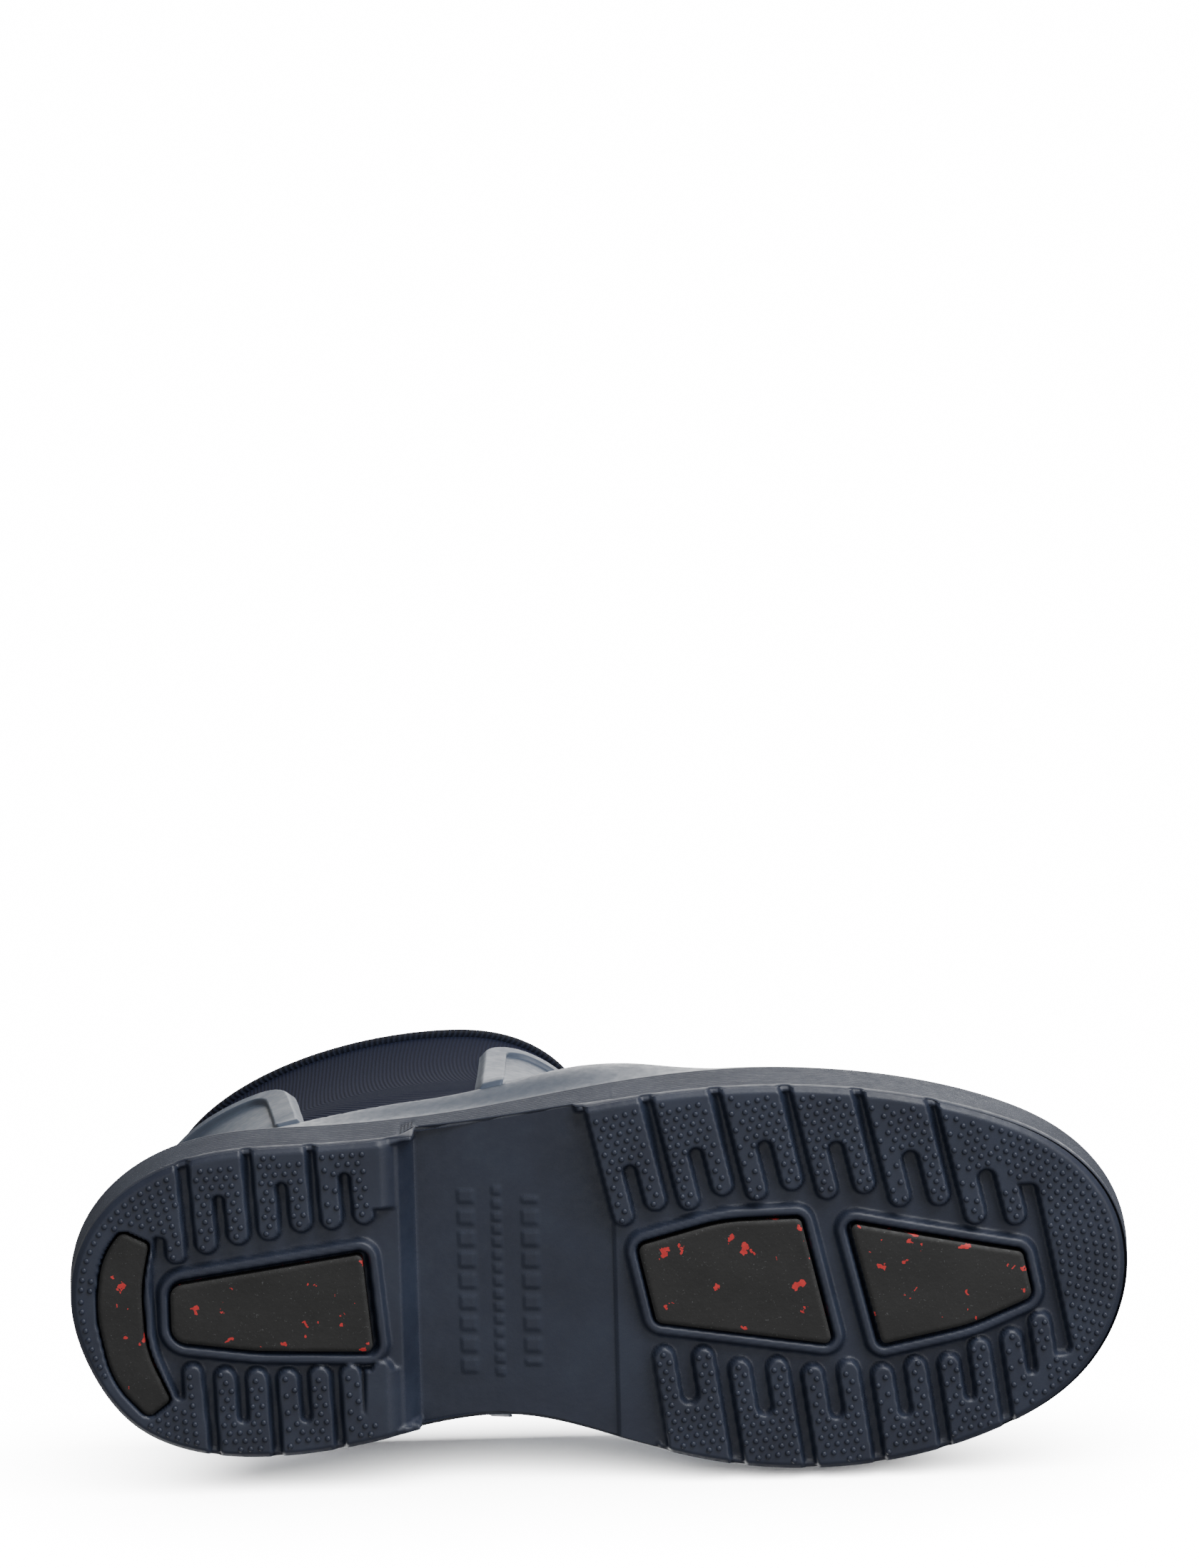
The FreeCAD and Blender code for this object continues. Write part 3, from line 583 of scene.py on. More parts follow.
def make_foxing():
    """Ribbed wall with real grooves and rounded ends."""
    x, low, high = rib_lines()
    rows = np.linspace(0, 1, 113)[:, None]
    level = low + 0.15 + (high - low - 0.15) * rows
    phase = (high - level) / (high - RIB_LOW - spring(x)) * RIBS
    groove = (0.5 + 0.5 * np.cos(2 * pi * phase))**1.6
    groove *= ramp(high - level, 0.35, 0.8)
    end = ramp(high - level, 0.45, 0.0) * 0.55 + ramp(level - low, 0.6, 0.1) * 0.5
    depth = -FOXING_SKIN + 0.85 * groove + end
    top = np.array([[0.25], [0.9], [1.9]])
    bottom = np.array([[2.1], [1.2]])
    level = np.vstack([low + 0.15 + 0 * bottom, level, high + 0 * top])
    depth = np.vstack([-FOXING_SKIN + bottom + 0 * x, depth, -FOXING_SKIN + 0.55 + top + 0 * x])
    phase = (high - level) / (high - RIB_LOW - spring(x)) * RIBS
    length = np.linspace(0, 700, SPOKES)[None, :] + 0 * level
    uv = closed(np.stack([length, phase], -1))
    return grid_object("ribbed_wall", closed(wall_points(level, depth)), uv=uv)


keep("sole_edge", make_sole_edge(), material="sole_edge")
keep("ribbed_wall", make_foxing(), nodes=("ribbed_foxing",), material="foxing")

# ---- rubber shell -------------------------------------------------------------------
GALOSH_EDGE = [(-160, 42), (-20, 42), (-6, 47), (6, 58), (16, 74), (24, 92), (34, 130),
               (160, 130)]
SHELL_START = 24.0


def galosh_top(x):
    """Upper edge of the rubber shell at x, seen from the side."""
    rows = np.array(GALOSH_EDGE, float)
    return np.interp(x, rows[:, 0], rows[:, 1])


def fan_points(angle, depth):
    """Points of the shell above its lowest level: angle is (rows, spokes), 0 is level."""
    base = np.zeros(angle.shape + (3,))
    base[..., 0], base[..., 1], base[..., 2] = SPINE[:, 0], SPINE[:, 1], SHELL_START
    direction = np.stack([SPOKE[:, 0] * np.cos(angle), SPOKE[:, 1] * np.cos(angle),
                          np.sin(angle)], -1)
    return pierce(base, direction, depth)


def edge_angles():
    """Angle at which each spoke meets the upper edge of the shell."""
    angles = np.linspace(0, pi / 2, 181)[:, None] + np.zeros((1, SPOKES))
    p = fan_points(angles, -GALOSH_SKIN + 0 * angles)
    over = p[..., 2] - galosh_top(p[..., 0])
    first = np.argmax(over > 0, axis=0)
    none = ~(over > 0).any(axis=0)
    first = np.where(none, len(angles) - 1, np.maximum(first, 1))
    column = np.arange(SPOKES)
    a, b = over[first - 1, column], over[first, column]
    share = np.where(none, 1.0, np.clip(-a / (b - a + 1e-9), 0, 1))
    found = angles[first - 1, column] + share * (angles[1, 0] - angles[0, 0])
    smooth = sum(np.roll(found, k) for k in range(-2, 3)) / 5
    return np.where(none, pi / 2, smooth)


EDGE_ANGLE = edge_angles()


def make_galosh():
    """Rubber shell over the foot, with a rounded upper edge."""
    x, _, high = rib_lines()
    low = np.linspace(0, 1, 6)[:-1, None]
    level = high - 2.0 + (SHELL_START - high + 2.0) * low
    lower = wall_points(level, -GALOSH_SKIN + 0 * level)
    open_edge = EDGE_ANGLE < pi / 2 - 0.01
    rows = np.linspace(0, 1, 46)[:, None]
    angle = EDGE_ANGLE * rows
    depth = -GALOSH_SKIN + 0 * angle
    lip = np.array([[0.004, 0.12], [0.009, 0.5], [0.011, 1.1], [0.008, 1.7], [-0.05, 1.7]])
    lip_angle = EDGE_ANGLE + lip[:, :1] * open_edge
    lip_depth = -GALOSH_SKIN + lip[:, 1:] * open_edge
    upper = fan_points(np.vstack([angle, lip_angle]), np.vstack([depth, lip_depth]))
    shell = grid_object("rubber_shell", closed(np.vstack([lower, upper])))
    weld(shell, 0.25)
    return shell


def weld(obj, gap):
    """Joins points closer than gap and drops the flat faces this leaves."""
    work = bmesh.new()
    work.from_mesh(obj.data)
    bmesh.ops.remove_doubles(work, verts=work.verts, dist=gap * MM)
    work.to_mesh(obj.data)
    work.free()


def make_glue():
    """Ragged bead of cement squeezed out over the side wall at the heel."""
    order = np.argsort(np.where(OUTLINE[:, 1] < 1, OUTLINE[:, 0], 999))
    columns = order[(OUTLINE[order, 0] < -92) & (OUTLINE[order, 1] < 1)]
    random = np.random.default_rng(7)
    ragged = random.uniform(0.15, 1.0, len(columns))
    ragged = ragged * random.choice([0.4, 1.0, 1.0], len(columns))
    rise = np.array([[-0.6, 0.7], [0.1, 0.75], [0.55, 0.5], [0.9, 0.12], [1.1, -0.3]])
    level = RIB_HIGH + 0.15 + rise[:, :1] * ragged
    depth = -GALOSH_SKIN - rise[:, 1:] * (0.4 + 0.6 * ragged)
    return grid_object("heel_glue_line", wall_points(level, depth, columns))


keep("rubber_shell", make_galosh(), nodes=("rubber_galosh",), material="galosh")
keep("heel_glue_line", make_glue(), material="glue")

# ---- leg ----------------------------------------------------------------------------
SLICE_SPREAD = [(-5, 0, 134), (45, 0, 124), (56, -12, 112), (64, -28, 92), (72, -42, 76),
                (84, -55, 62), (170, -58, 60)]


def around(level, turn, depth, reach=1.8):
    """Points at a level, seen from the middle of the slice in the direction turn."""
    middle, spread = table(SLICE_SPREAD, level), table(SLICE_SPREAD, level, 2)
    base = np.stack([middle, AXIS_Y + 0 * level, level], -1)
    direction = np.stack([spread * np.cos(turn), 42 * np.sin(turn), 0 * level], -1)
    return pierce(base, direction, depth, reach)


def sleeve(name, level, depth, columns, extra=None):
    """Tube round the leg: level and depth are lists of rows; a level may be negative for a
    share between the insole and 26 mm."""
    turn = np.linspace(0, 2 * pi, columns + 1)[None, :]
    level, depth = np.array(level, float)[:, None], np.array(depth, float)[:, None]
    level, depth = level + 0 * turn, depth + 0 * turn
    turn = turn + 0 * level
    low = level < 0
    for _ in range(2):
        height = np.where(low, 22.0, level)
        p = around(height, turn, depth)
        floor = table(INSOLE_LINE, p[..., 0])
        height = np.where(low, floor + (26 - floor) * (1 + level), level)
    points = around(height, turn, depth)
    length = np.concatenate([[0], np.cumsum(np.linalg.norm(np.diff(
        around(110 + 0 * turn[:1], turn[:1], 0 * turn[:1]), axis=1), axis=2))])
    uv = np.stack([length[None, :] + 0 * level, points[..., 2]], -1)
    if extra is not None:
        points, uv = extra(points, uv)
    return grid_object(name, points, uv=uv)


def leg_rows():
    """Levels of the bootee: six shares below 26 mm, then even steps to the collar."""
    return list(np.linspace(-1, -0.12, 7)) + list(np.linspace(26, COLLAR_HEIGHT - 0.6, 84))


def make_bootee():
    """Neoprene leg and foot with an inner face."""
    up = leg_rows()
    level = up + [COLLAR_HEIGHT, COLLAR_HEIGHT] + up[::-3]
    depth = [0.0] * len(up) + [0.8, NEOPRENE - 0.8] + [NEOPRENE] * len(up[::-3])
    return sleeve("bootee", level, depth, 420)


def make_lining():
    """Knit lining: inner wall and floor."""
    up = leg_rows()[::3]
    inner = NEOPRENE + 0.1 + LINING
    level = [COLLAR_HEIGHT - 0.5] * 2 + up[::-1]
    depth = [NEOPRENE + 0.2, inner] + [inner] * len(up)

    def floor(points, uv):
        wall, rim = points[:-1], points[-1:]
        middle = rim.mean(axis=1, keepdims=True)
        share = np.array([0.0, 0.06, 0.2, 0.45, 0.75, 0.98])[:, None, None]
        disc = rim + (middle - rim) * share
        rise = 4.1 + 2.0 * (1 - ramp(share[..., 0], 0, 0.1))
        disc[..., 2] = table(INSOLE_LINE, disc[..., 0]) + rise
        wall[..., 2] = np.maximum(wall[..., 2], table(INSOLE_LINE, wall[..., 0]) + 5.2)
        return np.concatenate([wall, disc]), np.concatenate([uv[:-1], np.repeat(uv[-1:], 6, 0)])
    return sleeve("lining", level, depth, 260, floor)


def make_binding():
    """Ribbed knit binding folded over the collar."""
    inner = NEOPRENE + 0.2 + LINING
    outer_side = [(149.0, 0.4), (148.9, -0.2), (149.2, -0.8), (150.4, -1.0), (152.0, -1.05),
                  (153.6, -1.0)]
    fold = [(153.6 + 2.3 * sin(pi * s), (inner + 1.0) * (0.5 - 0.5 * cos(pi * s)) - (1 - s))
            for s in np.linspace(0, 1, 9)[1:-1]]
    inner_side = [(153.6, inner + 0.8), (151.5, inner + 0.85), (149.4, inner + 0.7), (149.0, inner)]
    rows = outer_side + fold + inner_side
    return sleeve("binding", [r[0] for r in rows], [r[1] for r in rows], 900)


keep("bootee", make_bootee(), nodes=("neoprene_bootee",), material="neoprene")
keep("lining", make_lining(), nodes=("bootee_lining",), material="lining")
keep("binding", make_binding(), nodes=("collar_binding",), material="binding")

# ---- panels on the leg --------------------------------------------------------------
PANEL_TOP, PANEL_BACK, CORNER, RIM_WIDTH = 135.0, -32.0, 13.0, 6.5
RIM_RISE = 2.7
REAR_EDGE = [(30, -75), (70, -78.9), (106, -82.5), (116, -84.6), (123.5, -89), (128, -96),
             (139, -118)]
LEG_AXIS_X = -56.0


def leg_ray(level, turn, depth):
    """Points of the leg seen from its axis; turn 0 points forwards."""
    base = np.stack([LEG_AXIS_X + 0 * level, AXIS_Y + 0 * level, level], -1)
    direction = np.stack([np.cos(turn), np.sin(turn), 0 * level], -1)
    return pierce(base, direction, depth, 190.0)


def turn_of(x, level, sign):
    """Direction from the leg's axis to the surface point at x on one side."""
    base = np.stack([x, AXIS_Y + 0 * x, level], -1)
    direction = np.stack([0 * x, sign + 0 * x, 0 * x], -1)
    p = pierce(base, direction, 0 * x, 60.0)
    return np.arctan2(p[..., 1] - AXIS_Y, p[..., 0] - LEG_AXIS_X)


def front_edge(level):
    """Back edge of the front panel, with its round upper corner."""
    over = np.clip(level - (PANEL_TOP - CORNER), 0, CORNER)
    return PANEL_BACK + CORNER - np.sqrt(np.maximum(CORNER**2 - over**2, 0))


def rear_edge(level):
    """Front edge of the rear panel."""
    return table(REAR_EDGE, level)


def panel(name, levels, edge, facing, distance):
    """Panel with a raised rim between its edges on the two sides of the leg."""
    outer, inner = turn_of(edge(levels), levels, -1.0), turn_of(edge(levels), levels, 1.0)
    if facing < 0:
        outer = outer + 2 * pi
    share = np.sin(np.linspace(-1, 1, 161) * pi / 2)[None, :] * 0.5 + 0.5
    turn = outer[:, None] * (1 - share) + inner[:, None] * share
    level = levels[:, None] + 0 * turn
    flat = leg_ray(level, turn, 0 * turn)
    d = distance(flat[..., 0], flat[..., 2])
    under = ramp(flat[..., 2] - galosh_top(flat[..., 0]), -2.0, 1.5)
    dome = ramp(d, 0.0, 0.9) * ramp(RIM_WIDTH - d, -0.3, 0.6)
    rise = 0.15 + (PANEL_SKIN - 0.15) * ramp(d, -0.1, 0.6)
    rise = rise + (RIM_RISE - PANEL_SKIN) * dome
    rise = 0.9 + (rise - 0.9) * under
    lip = np.maximum(rise, 0.0)
    lip[[0, -1]] = lip[:, [0, -1]] = -0.3
    return grid_object(name, leg_ray(level, turn, -lip))


def front_distance(x, z):
    """Distance in the side view to the edge of the front panel."""
    a, b = x - (PANEL_BACK + CORNER), z - (PANEL_TOP - CORNER)
    corner = CORNER - np.hypot(np.minimum(a, 0), np.maximum(b, 0))
    side = np.where(a < 0, CORNER + a, 1e9)
    return np.minimum(np.where((a < 0) & (b > 0), corner, side), PANEL_TOP - z)


def rear_outline():
    """Grid of distances in the side view to the edge of the rear panel."""
    level = np.linspace(30, 139, 90)
    rows = np.column_stack([rear_edge(level), level])
    return Grid(np.vstack([rows, [(-160, 158), (-160, 20), (-74, 20)]]), 0.5)


REAR_GRID = rear_outline()
FRONT_LEVELS = np.concatenate([np.arange(36, 120, 1.2), np.arange(120, 134.95, 0.45), [134.97]])
REAR_LEVELS = np.concatenate([np.arange(38, 100, 1.3), np.arange(100, 138.4, 0.5)])
keep("front_panel", panel("front_panel", FRONT_LEVELS, front_edge, 1, front_distance),
     nodes=("front_panel", "front_panel_rim"), material="panel")
keep("rear_panel", panel("rear_panel", REAR_LEVELS, rear_edge, -1, REAR_GRID),
     nodes=("rear_panel", "rear_panel_rim"), material="panel")

# ---- footbed ------------------------------------------------------------------------
FOOTBED_RISE, FOOTBED_FOAM, FOOTBED_COVER = 4.7, 4.0, 1.2


def footbed_layer(name, low, high, inset):
    """Cushion between two heights over the insole line, with rounded edges."""
    turn = np.linspace(0, 2 * pi, 241)[None, :]
    rows = [(0.0, low, 9.0), (0.5, low, 9.0), (0.9, low, 2.0), (1.0, low + 0.12, 0.9),
            (1.0, low + 0.6, 0.2), (1.0, (low + high) / 2, 0.0), (1.0, high - 0.6, 0.2),
            (1.0, high - 0.12, 0.9), (0.9, high, 2.0), (0.5, high, 9.0), (0.0, high, 9.0)]
    layers = []
    middle = np.array([-8.0, AXIS_Y, 0])
    for share, height, shrink in rows:
        p = around(26.0 + 0 * turn, turn, inset + shrink * (share == 1.0) + 0 * turn)
        p[..., 0] = np.minimum(p[..., 0], HINGE_X + 2.6)
        p = middle + (p - middle) * share
        p[..., 2] = table(INSOLE_LINE, p[..., 0]) + height
        layers.append(p)
    return grid_object(name, np.concatenate(layers))


FOAM_TOP = FOOTBED_RISE + FOOTBED_FOAM
COVER_LOW = FOAM_TOP + 0.1
bed = keep("footbed_foam", footbed_layer("footbed_foam", FOOTBED_RISE, FOAM_TOP, 7.6),
           "footbed", ("footbed",), "foam")
cover = keep("footbed_knit", footbed_layer("footbed_knit", COVER_LOW, COVER_LOW + FOOTBED_COVER, 7.4),
             "footbed", ("footbed_cover",), "knit")

# ---- materials ----------------------------------------------------------------------


class Finish:
    """A material and short ways to add nodes to it."""

    def __init__(self, name):
        self.material = bpy.data.materials.new(name)
        self.material.use_nodes = True
        self.tree = self.material.node_tree
        self.shader = self.tree.nodes["Principled BSDF"]
        coordinates = self.tree.nodes.new("ShaderNodeTexCoord")
        self.place, self.uv = coordinates.outputs["Object"], coordinates.outputs["UV"]

    def node(self, kind, **values):
        node = self.tree.nodes.new("ShaderNode" + kind)
        for key, value in values.items():
            if hasattr(node, key):
                setattr(node, key, value)
            else:
                self.connect(value, node.inputs[key.replace("_", " ")])
        return node

    def connect(self, value, socket):
        if isinstance(value, bpy.types.NodeSocket):
            self.tree.links.new(value, socket)
        else:
            socket.default_value = value

    def noise(self, scale, detail=3.0, rough=0.55, vector=None):
        node = self.node("TexNoise", Scale=scale, Detail=detail, Roughness=rough)
        self.connect(vector or self.place, node.inputs["Vector"])
        return node.outputs["Fac"]

    def scaled(self, vector, scale):
        node = self.node("Mapping")
        self.connect(vector, node.inputs["Vector"])
        node.inputs["Scale"].default_value = scale
        return node.outputs["Vector"]

    def mix(self, share, a, b):
        node = self.tree.nodes.new("ShaderNodeMix")
        node.data_type = "RGBA"
        for value, socket in ((share, node.inputs[0]), (a, node.inputs[6]), (b, node.inputs[7])):
            self.connect(value, socket)
        return node.outputs[2]

    def span(self, value, low, high, to_low=0.0, to_high=1.0):
        node = self.node("MapRange")
        for socket, number in zip(node.inputs[:5], (value, low, high, to_low, to_high)):
            self.connect(number, socket)
        return node.outputs[0]

    def math(self, kind, a, b=0.0):
        node = self.node("Math", operation=kind)
        self.connect(a, node.inputs[0])
        self.connect(b, node.inputs[1])
        return node.outputs[0]

    def bump(self, height, strength, distance, before=None):
        node = self.node("Bump", Strength=strength, Distance=distance, Height=height)
        if before is not None:
            self.connect(before, node.inputs["Normal"])
        return node.outputs["Normal"]

    def finish(self, color, roughness, normal, **more):
        for name, value in dict({"Base Color": color, "Roughness": roughness, "Normal": normal},
                                **more).items():
            self.connect(value, self.shader.inputs[name])
        return self.material


# ---- camera, light, surroundings ----------------------------------------------------
scene = bpy.context.scene


def look(position, right, up, forward):
    """World matrix of something at position whose view goes along forward."""
    matrix = Matrix.Identity(4)
    for column, axis in enumerate((right, up, [-v for v in forward], position)):
        for row in range(3):
            matrix[row][column] = axis[row]
    return matrix


data = bpy.data.cameras.new("camera")
data.lens, data.sensor_width, data.clip_start, data.clip_end = 115.67, 36.0, 0.05, 30.0
camera = bpy.data.objects.new("camera", data)
scene.collection.objects.link(camera)
camera.matrix_world = look((0.0, -0.29114, -1.26668), (0.99966, 0.02551, -0.00589),
                           (0.02605, -0.99165, 0.12630), (0.00262, 0.12641, 0.99197))
scene.camera = camera


def add_light(name, kind, direction, **values):
    """Light that shines along direction."""
    data = bpy.data.lights.new(name, kind)
    for key, value in values.items():
        setattr(data, key, value)
    light = bpy.data.objects.new(name, data)
    scene.collection.objects.link(light)
    light.rotation_euler = Vector(direction).to_track_quat("-Z", "Y").to_euler()
    return light


def area_light(name, place, target, size, power):
    """Rectangular soft light at place, turned to target."""
    light = add_light(name, "AREA", [b - a for a, b in zip(place, target)], shape="RECTANGLE",
                      size=size[0], size_y=size[1], energy=power)
    light.location = place


area_light("soft_top", (0.42, -0.95, -0.42), (0.02, 0.0, 0.03), (0.9, 0.8), 15)
area_light("toe_fill", (1.3, -0.2, -1.0), (0.0, 0.0, 0.0), (1.0, 1.0), 7)
area_light("low_fill", (-0.3, 0.0, -1.8), (0.0, 0.0, 0.0), (1.6, 1.6), 5)
area_light("back_fill", (-0.7, 1.3, 1.1), (0.0, 0.0, 0.08), (1.4, 1.4), 30)
area_light("sky_fill", (0.3, -0.5, 1.9), (0.0, 0.0, 0.1), (1.4, 1.4), 22)
world = bpy.data.worlds.new("world")
scene.world = world
world.use_nodes = True
world.node_tree.nodes["Background"].inputs["Color"].default_value = (1, 1, 1, 1)
world.node_tree.nodes["Background"].inputs["Strength"].default_value = 0.25


def stage_mesh(name, points, faces, glow, diffuse=0.9, fade=None):
    """Plain white surface that only the camera sees, only from its front; fade is the pair of
    heights between which it disappears."""
    mesh = bpy.data.meshes.new(name)
    mesh.from_pydata(points, [], faces)
    obj = bpy.data.objects.new(name, mesh)
    scene.collection.objects.link(obj)
    f = Finish(name)
    geometry = f.node("NewGeometry")
    alpha = f.math("SUBTRACT", 1.0, geometry.outputs["Backfacing"])
    if fade:
        split = f.node("SeparateXYZ")
        f.connect(geometry.outputs["Position"], split.inputs[0])
        alpha = f.math("MULTIPLY", alpha, f.span(split.outputs["Z"], *fade, 1.0, 0.0))
    for key, value in (("Base Color", (diffuse, diffuse, diffuse, 1)), ("Roughness", 1.0),
                       ("Specular IOR Level", 0.0), ("Emission Color", (1, 1, 1, 1)),
                       ("Emission Strength", glow), ("Alpha", alpha)):
        f.connect(value, f.shader.inputs[key])
    mesh.materials.append(f.material)
    obj.visible_diffuse = obj.visible_glossy = obj.visible_shadow = False
    obj.visible_transmission = obj.visible_volume_scatter = False
    return obj


FAR, UNDER = 6.0, -0.0008     # reach of the ground and its height, just below the sole
SIDE = 0.0528                # y of the side floor, just past the boot's inner side
SKY, RINGS, SECTORS = 5.5, 12, 24    # radius and facets of the backdrop
ground = stage_mesh("ground", [(-FAR, -FAR, UNDER), (FAR, -FAR, UNDER), (FAR, FAR, UNDER),
                               (-FAR, FAR, UNDER)], [(0, 1, 2, 3)], 0.12)
side_floor = stage_mesh("side_floor", [(-2, SIDE, 0.1), (-2, SIDE, -1.26), (2, SIDE, -1.26),
                                       (2, SIDE, 0.1)], [(0, 1, 2, 3)], 0.12, fade=(0.05, 0.09))


def floor_sun(name, direction, floor, strength):
    """Wide soft light that falls on one floor only."""
    light = add_light(name, "SUN", direction, energy=strength, angle=radians(130))
    only = bpy.data.collections.new(name)
    only.objects.link(floor)
    light.light_linking.receiver_collection = only


floor_sun("side_floor_sun", (-0.1, 1.0, 0.15), side_floor, 60)
floor_sun("ground_sun", (-0.1, 0.2, -1.0), ground, 60)
backdrop_points, backdrop_faces = [], []
for i in range(RINGS + 1):
    for j in range(SECTORS):
        a, b = pi * i / RINGS, 2 * pi * j / SECTORS
        backdrop_points.append((SKY * sin(a) * cos(b), SKY * sin(a) * sin(b), SKY * cos(a)))
        if i < RINGS:
            k, n = i * SECTORS + j, i * SECTORS + (j + 1) % SECTORS
            backdrop_faces.append((k, n, n + SECTORS, k + SECTORS))
stage_mesh("backdrop", backdrop_points, backdrop_faces, 16.0, 0.0)


# ---- finishes -----------------------------------------------------------------------


def srgb(*rgb):
    """Linear colour from 0-255 display values."""
    return tuple(((v / 255 + 0.055) / 1.055)**2.4 if v > 10 else v / 3294.6 for v in rgb) + (1.0,)


def rubber(name, color, light, roughness, grain):
    """Moulded rubber: fine grain, a cloudy shade and uneven gloss."""
    f = Finish(name)
    cloud = f.noise(54.0, 4)
    shade = f.mix(f.span(cloud, 0.35, 0.7), srgb(*color), srgb(*light))
    fine = f.noise(2600, 2)
    wear = f.noise(420, 4, 0.65)
    rough = f.span(wear, 0.3, 0.7, roughness - 0.07, roughness + 0.09)
    normal = f.bump(f.noise(900, 3), grain * 0.5, 0.0003, f.bump(fine, grain, 0.0001))
    return f.finish(shade, rough, normal)


def fleck_rubber(name):
    """Black grip rubber with a few red flecks of many sizes."""
    f = Finish(name)
    warp = f.node("VectorMath", operation="ADD")
    f.connect(f.place, warp.inputs[0])
    wobble = f.node("TexNoise", Scale=420.0, Detail=3.0)
    f.connect(f.place, wobble.inputs["Vector"])
    small = f.node("VectorMath", operation="SCALE", Scale=0.005)
    f.connect(wobble.outputs["Color"], small.inputs[0])
    f.connect(small.outputs[0], warp.inputs[1])
    shares = []
    for scale, edge, chance, stretch in ((140.0, 0.24, 0.56, (1.0, 0.6, 1.0)),
                                         (220.0, 0.25, 0.68, (0.65, 1.0, 1.0)),
                                         (330.0, 0.26, 0.74, (1.0, 0.7, 1.0))):
        cell = f.node("TexVoronoi", Scale=scale, Randomness=1.0)
        f.connect(f.scaled(warp.outputs[0], stretch), cell.inputs["Vector"])
        pick = f.node("SeparateColor")
        f.connect(cell.outputs["Color"], pick.inputs[0])
        chosen = f.math("GREATER_THAN", pick.outputs[0], chance)
        size = f.span(pick.outputs[1], 0.0, 1.0, edge * 0.3, edge)
        inside = f.math("LESS_THAN", cell.outputs["Distance"], size)
        shares.append(f.math("MULTIPLY", chosen, inside))
    fleck = f.math("MAXIMUM", f.math("MAXIMUM", shares[0], shares[1]), shares[2])
    dust = f.span(f.noise(1500, 2, 0.8), 0.66, 0.72, 0.0, 0.35)
    black = f.mix(f.noise(90, 4), srgb(22, 22, 22), srgb(38, 38, 38))
    black = f.mix(dust, black, srgb(120, 122, 124))
    red = f.mix(f.noise(700, 2), srgb(170, 24, 30), srgb(214, 60, 58))
    normal = f.bump(f.noise(500, 4, 0.7), 0.3, 0.0004)
    return f.finish(f.mix(fleck, black, red), f.span(f.noise(500, 2), 0.3, 0.7, 0.5, 0.66), normal)


def knit(name, color, light, rib, height, cross=0.0, contrast=0.5):
    """Fabric with fine upright ribs; its texture coordinates are millimetres round and up."""
    f = Finish(name)
    split = f.node("SeparateXYZ")
    f.connect(f.uv, split.inputs[0])
    drift = f.math("MULTIPLY", f.math("SUBTRACT", f.noise(60, 2), 0.5), 0.5)
    across = f.math("ADD", split.outputs[0], drift)
    wave = f.math("SINE", f.math("MULTIPLY", across, 2 * pi / rib))
    stitch = f.math("SINE", f.math("MULTIPLY", split.outputs[1], 2 * pi / (rib * 0.8)))
    pile = f.math("ADD", f.math("MULTIPLY", wave, 0.5), f.math("MULTIPLY", stitch, cross))
    pile = f.math("ADD", pile, f.math("MULTIPLY", f.noise(1800, 3, 0.7), 0.5))
    shade = f.mix(f.span(wave, -1.0, 1.0, 0.5 - contrast / 2, 0.5 + contrast / 2),
                  srgb(*color), srgb(*light))
    shade = f.mix(f.span(f.noise(25, 3), 0.4, 0.7, 0, 0.2), shade, srgb(*light))
    return f.finish(shade, 0.95, f.bump(pile, 0.7, height * MM), **{"Specular IOR Level": 0.15})


def ribbed_rubber_groove_shade(name, color, light, groove):
    """Rubber whose moulded grooves are darkened with painted shade; the second texture coordinate
    counts ribs.
    """
    f = Finish(name)
    split = f.node("SeparateXYZ")
    f.connect(f.uv, split.inputs[0])
    wave = f.math("COSINE", f.math("MULTIPLY", split.outputs[1], 2 * pi))
    shade = f.mix(f.span(f.noise(60, 4), 0.35, 0.7), srgb(*color), srgb(*light))
    # painted shade: the dark groove colour is laid along the grooves (the share named dust) and kept
    # off the rounded top ends
    below = f.span(split.outputs[1], 0.25, 0.6)
    dust = f.math("MULTIPLY", below, f.span(wave, 0.1, 0.9, 0.0, 0.85))
    shade = f.mix(dust, shade, srgb(*groove))
    normal = f.bump(f.noise(900, 3), 0.15, 0.0003)
    return f.finish(shade, f.span(f.noise(400, 4), 0.3, 0.7, 0.42, 0.6), normal)


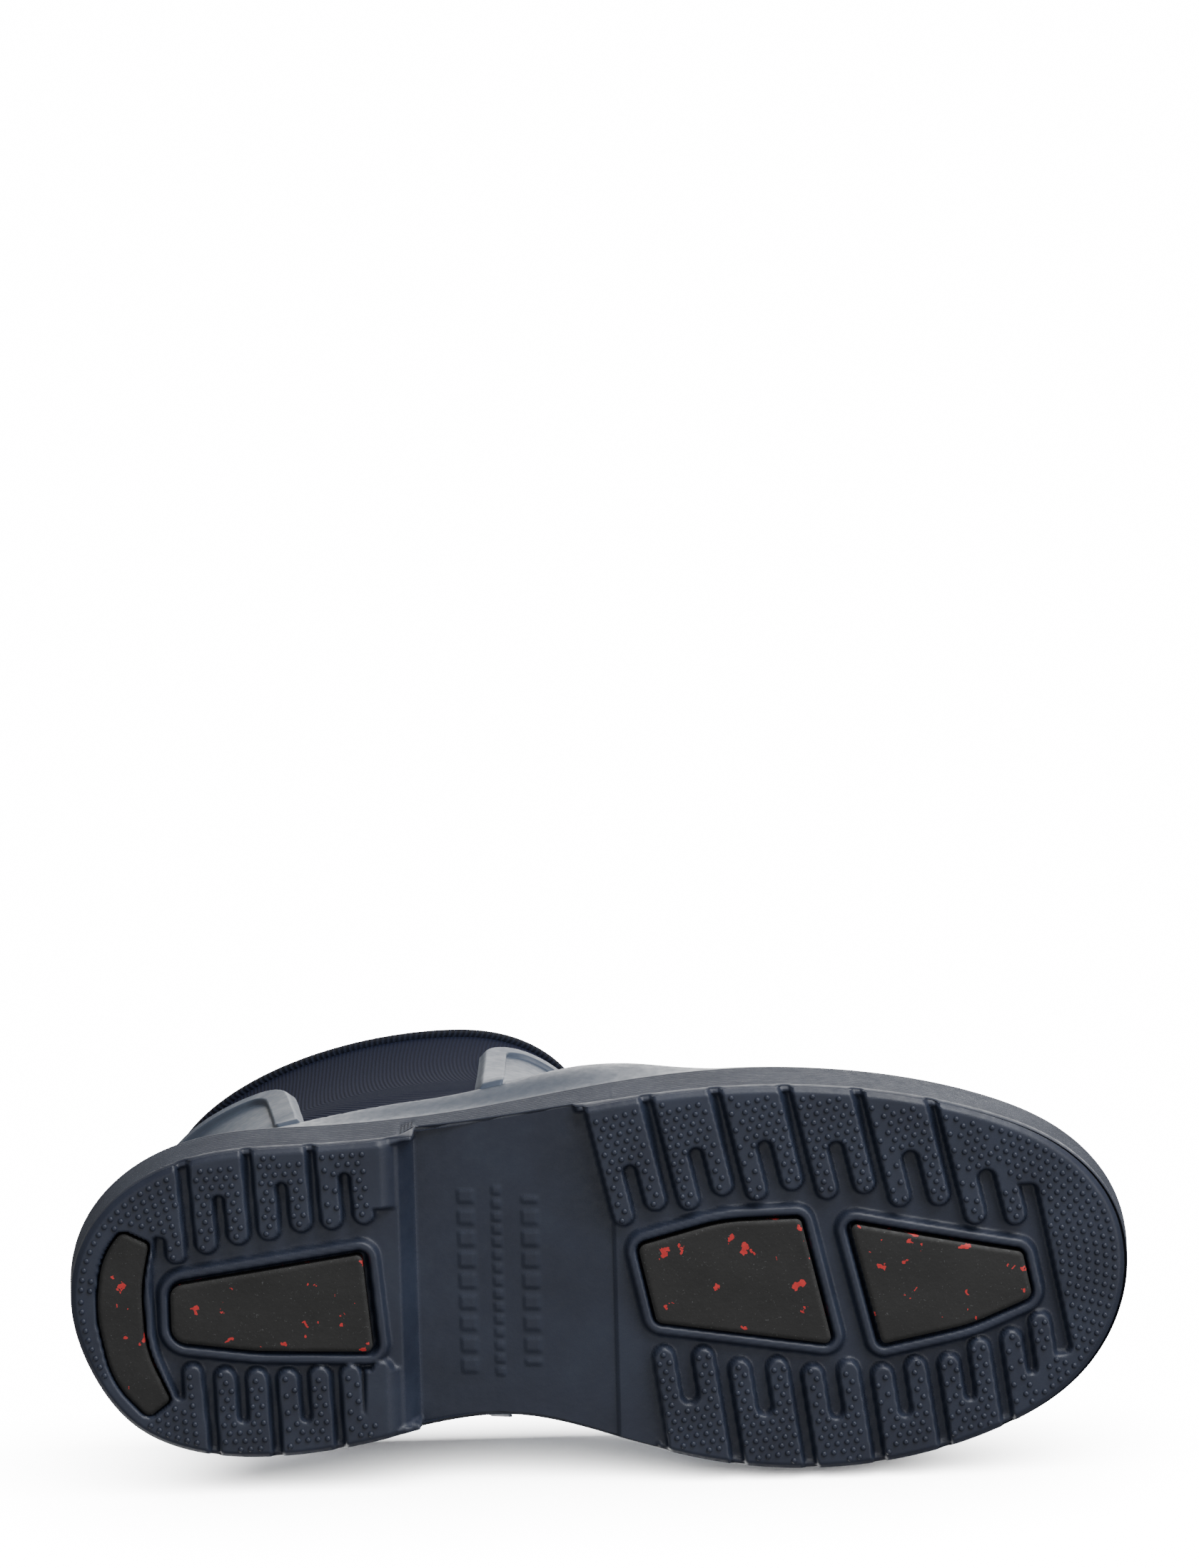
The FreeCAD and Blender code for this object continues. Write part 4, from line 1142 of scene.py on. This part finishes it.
def grained(name, color, light, roughness, scale=300.0, height=0.2, **more):
    """Plain solid with grain: board, foam, felt."""
    f = Finish(name)
    shade = f.mix(f.span(f.noise(scale, 4, 0.7), 0.35, 0.65), srgb(*color), srgb(*light))
    return f.finish(shade, roughness, f.bump(f.noise(scale * 3, 3), 0.6, height * MM), **more)


FINISHES = {
    "sole": rubber("sole_rubber", (33, 39, 55), (43, 50, 67), 0.45, 0.2),
    "sole_edge": rubber("sole_edge_rubber", (36, 42, 58), (46, 53, 69), 0.45, 0.2),
    # the foxing's third colour is painted shade for its grooves
    "foxing": ribbed_rubber_groove_shade("foxing_rubber", (64, 68, 78), (76, 80, 90), (34, 37, 46)),
    "galosh": rubber("galosh_rubber", (66, 75, 90), (74, 84, 100), 0.42, 0.12),
    "panel": rubber("panel_rubber", (74, 84, 100), (84, 94, 110), 0.5, 0.15),
    "grip": fleck_rubber("grip_rubber"),
    "neoprene": knit("neoprene_knit", (14, 18, 36), (27, 34, 57), 1.1, 0.25),
    "lining": knit("lining_knit", (44, 47, 56), (66, 69, 78), 1.8, 0.2, 0.3),
    "binding": knit("binding_knit", (9, 12, 22), (30, 35, 50), 1.5, 0.5, 0.0, 0.9),
    "glue": grained("dried_cement", (150, 158, 166), (198, 204, 208), 0.7, 900.0, 0.3),
    "foam": grained("footbed_foam", (60, 66, 78), (78, 84, 96), 0.8, 500.0),
    "knit": grained("footbed_knit", (34, 37, 46), (52, 56, 66), 0.9, 900.0, 0.3),
}
CAD_FINISHES = {
    "toe_puff": grained("stiffener_board", (196, 186, 160), (214, 205, 182), 0.8),
    "insole_board": grained("insole_board", (150, 120, 84), (172, 142, 104), 0.85, 420.0),
    "heel_filler": grained("filler_foam", (70, 72, 76), (98, 100, 104), 0.9, 600.0, 0.4),
    "shank": grained("shank_steel", (150, 152, 156), (176, 178, 182), 0.35, 150.0, 0.02,
                     Metallic=0.95),
    "back_seam_tape": grained("seam_tape", (24, 26, 34), (40, 43, 52), 0.8, 1200.0, 0.2),
}
CAD_FINISHES["heel_counter"] = CAD_FINISHES["toe_puff"]
CAD_FINISHES["forefoot_filler"] = CAD_FINISHES["heel_filler"]

for obj, finish in PIECES.values():
    obj.data.materials.append(FINISHES[finish])
for name, material in CAD_FINISHES.items():
    node = frame["nodes"][name]
    node.data.materials.clear()
    node.data.materials.append(material)
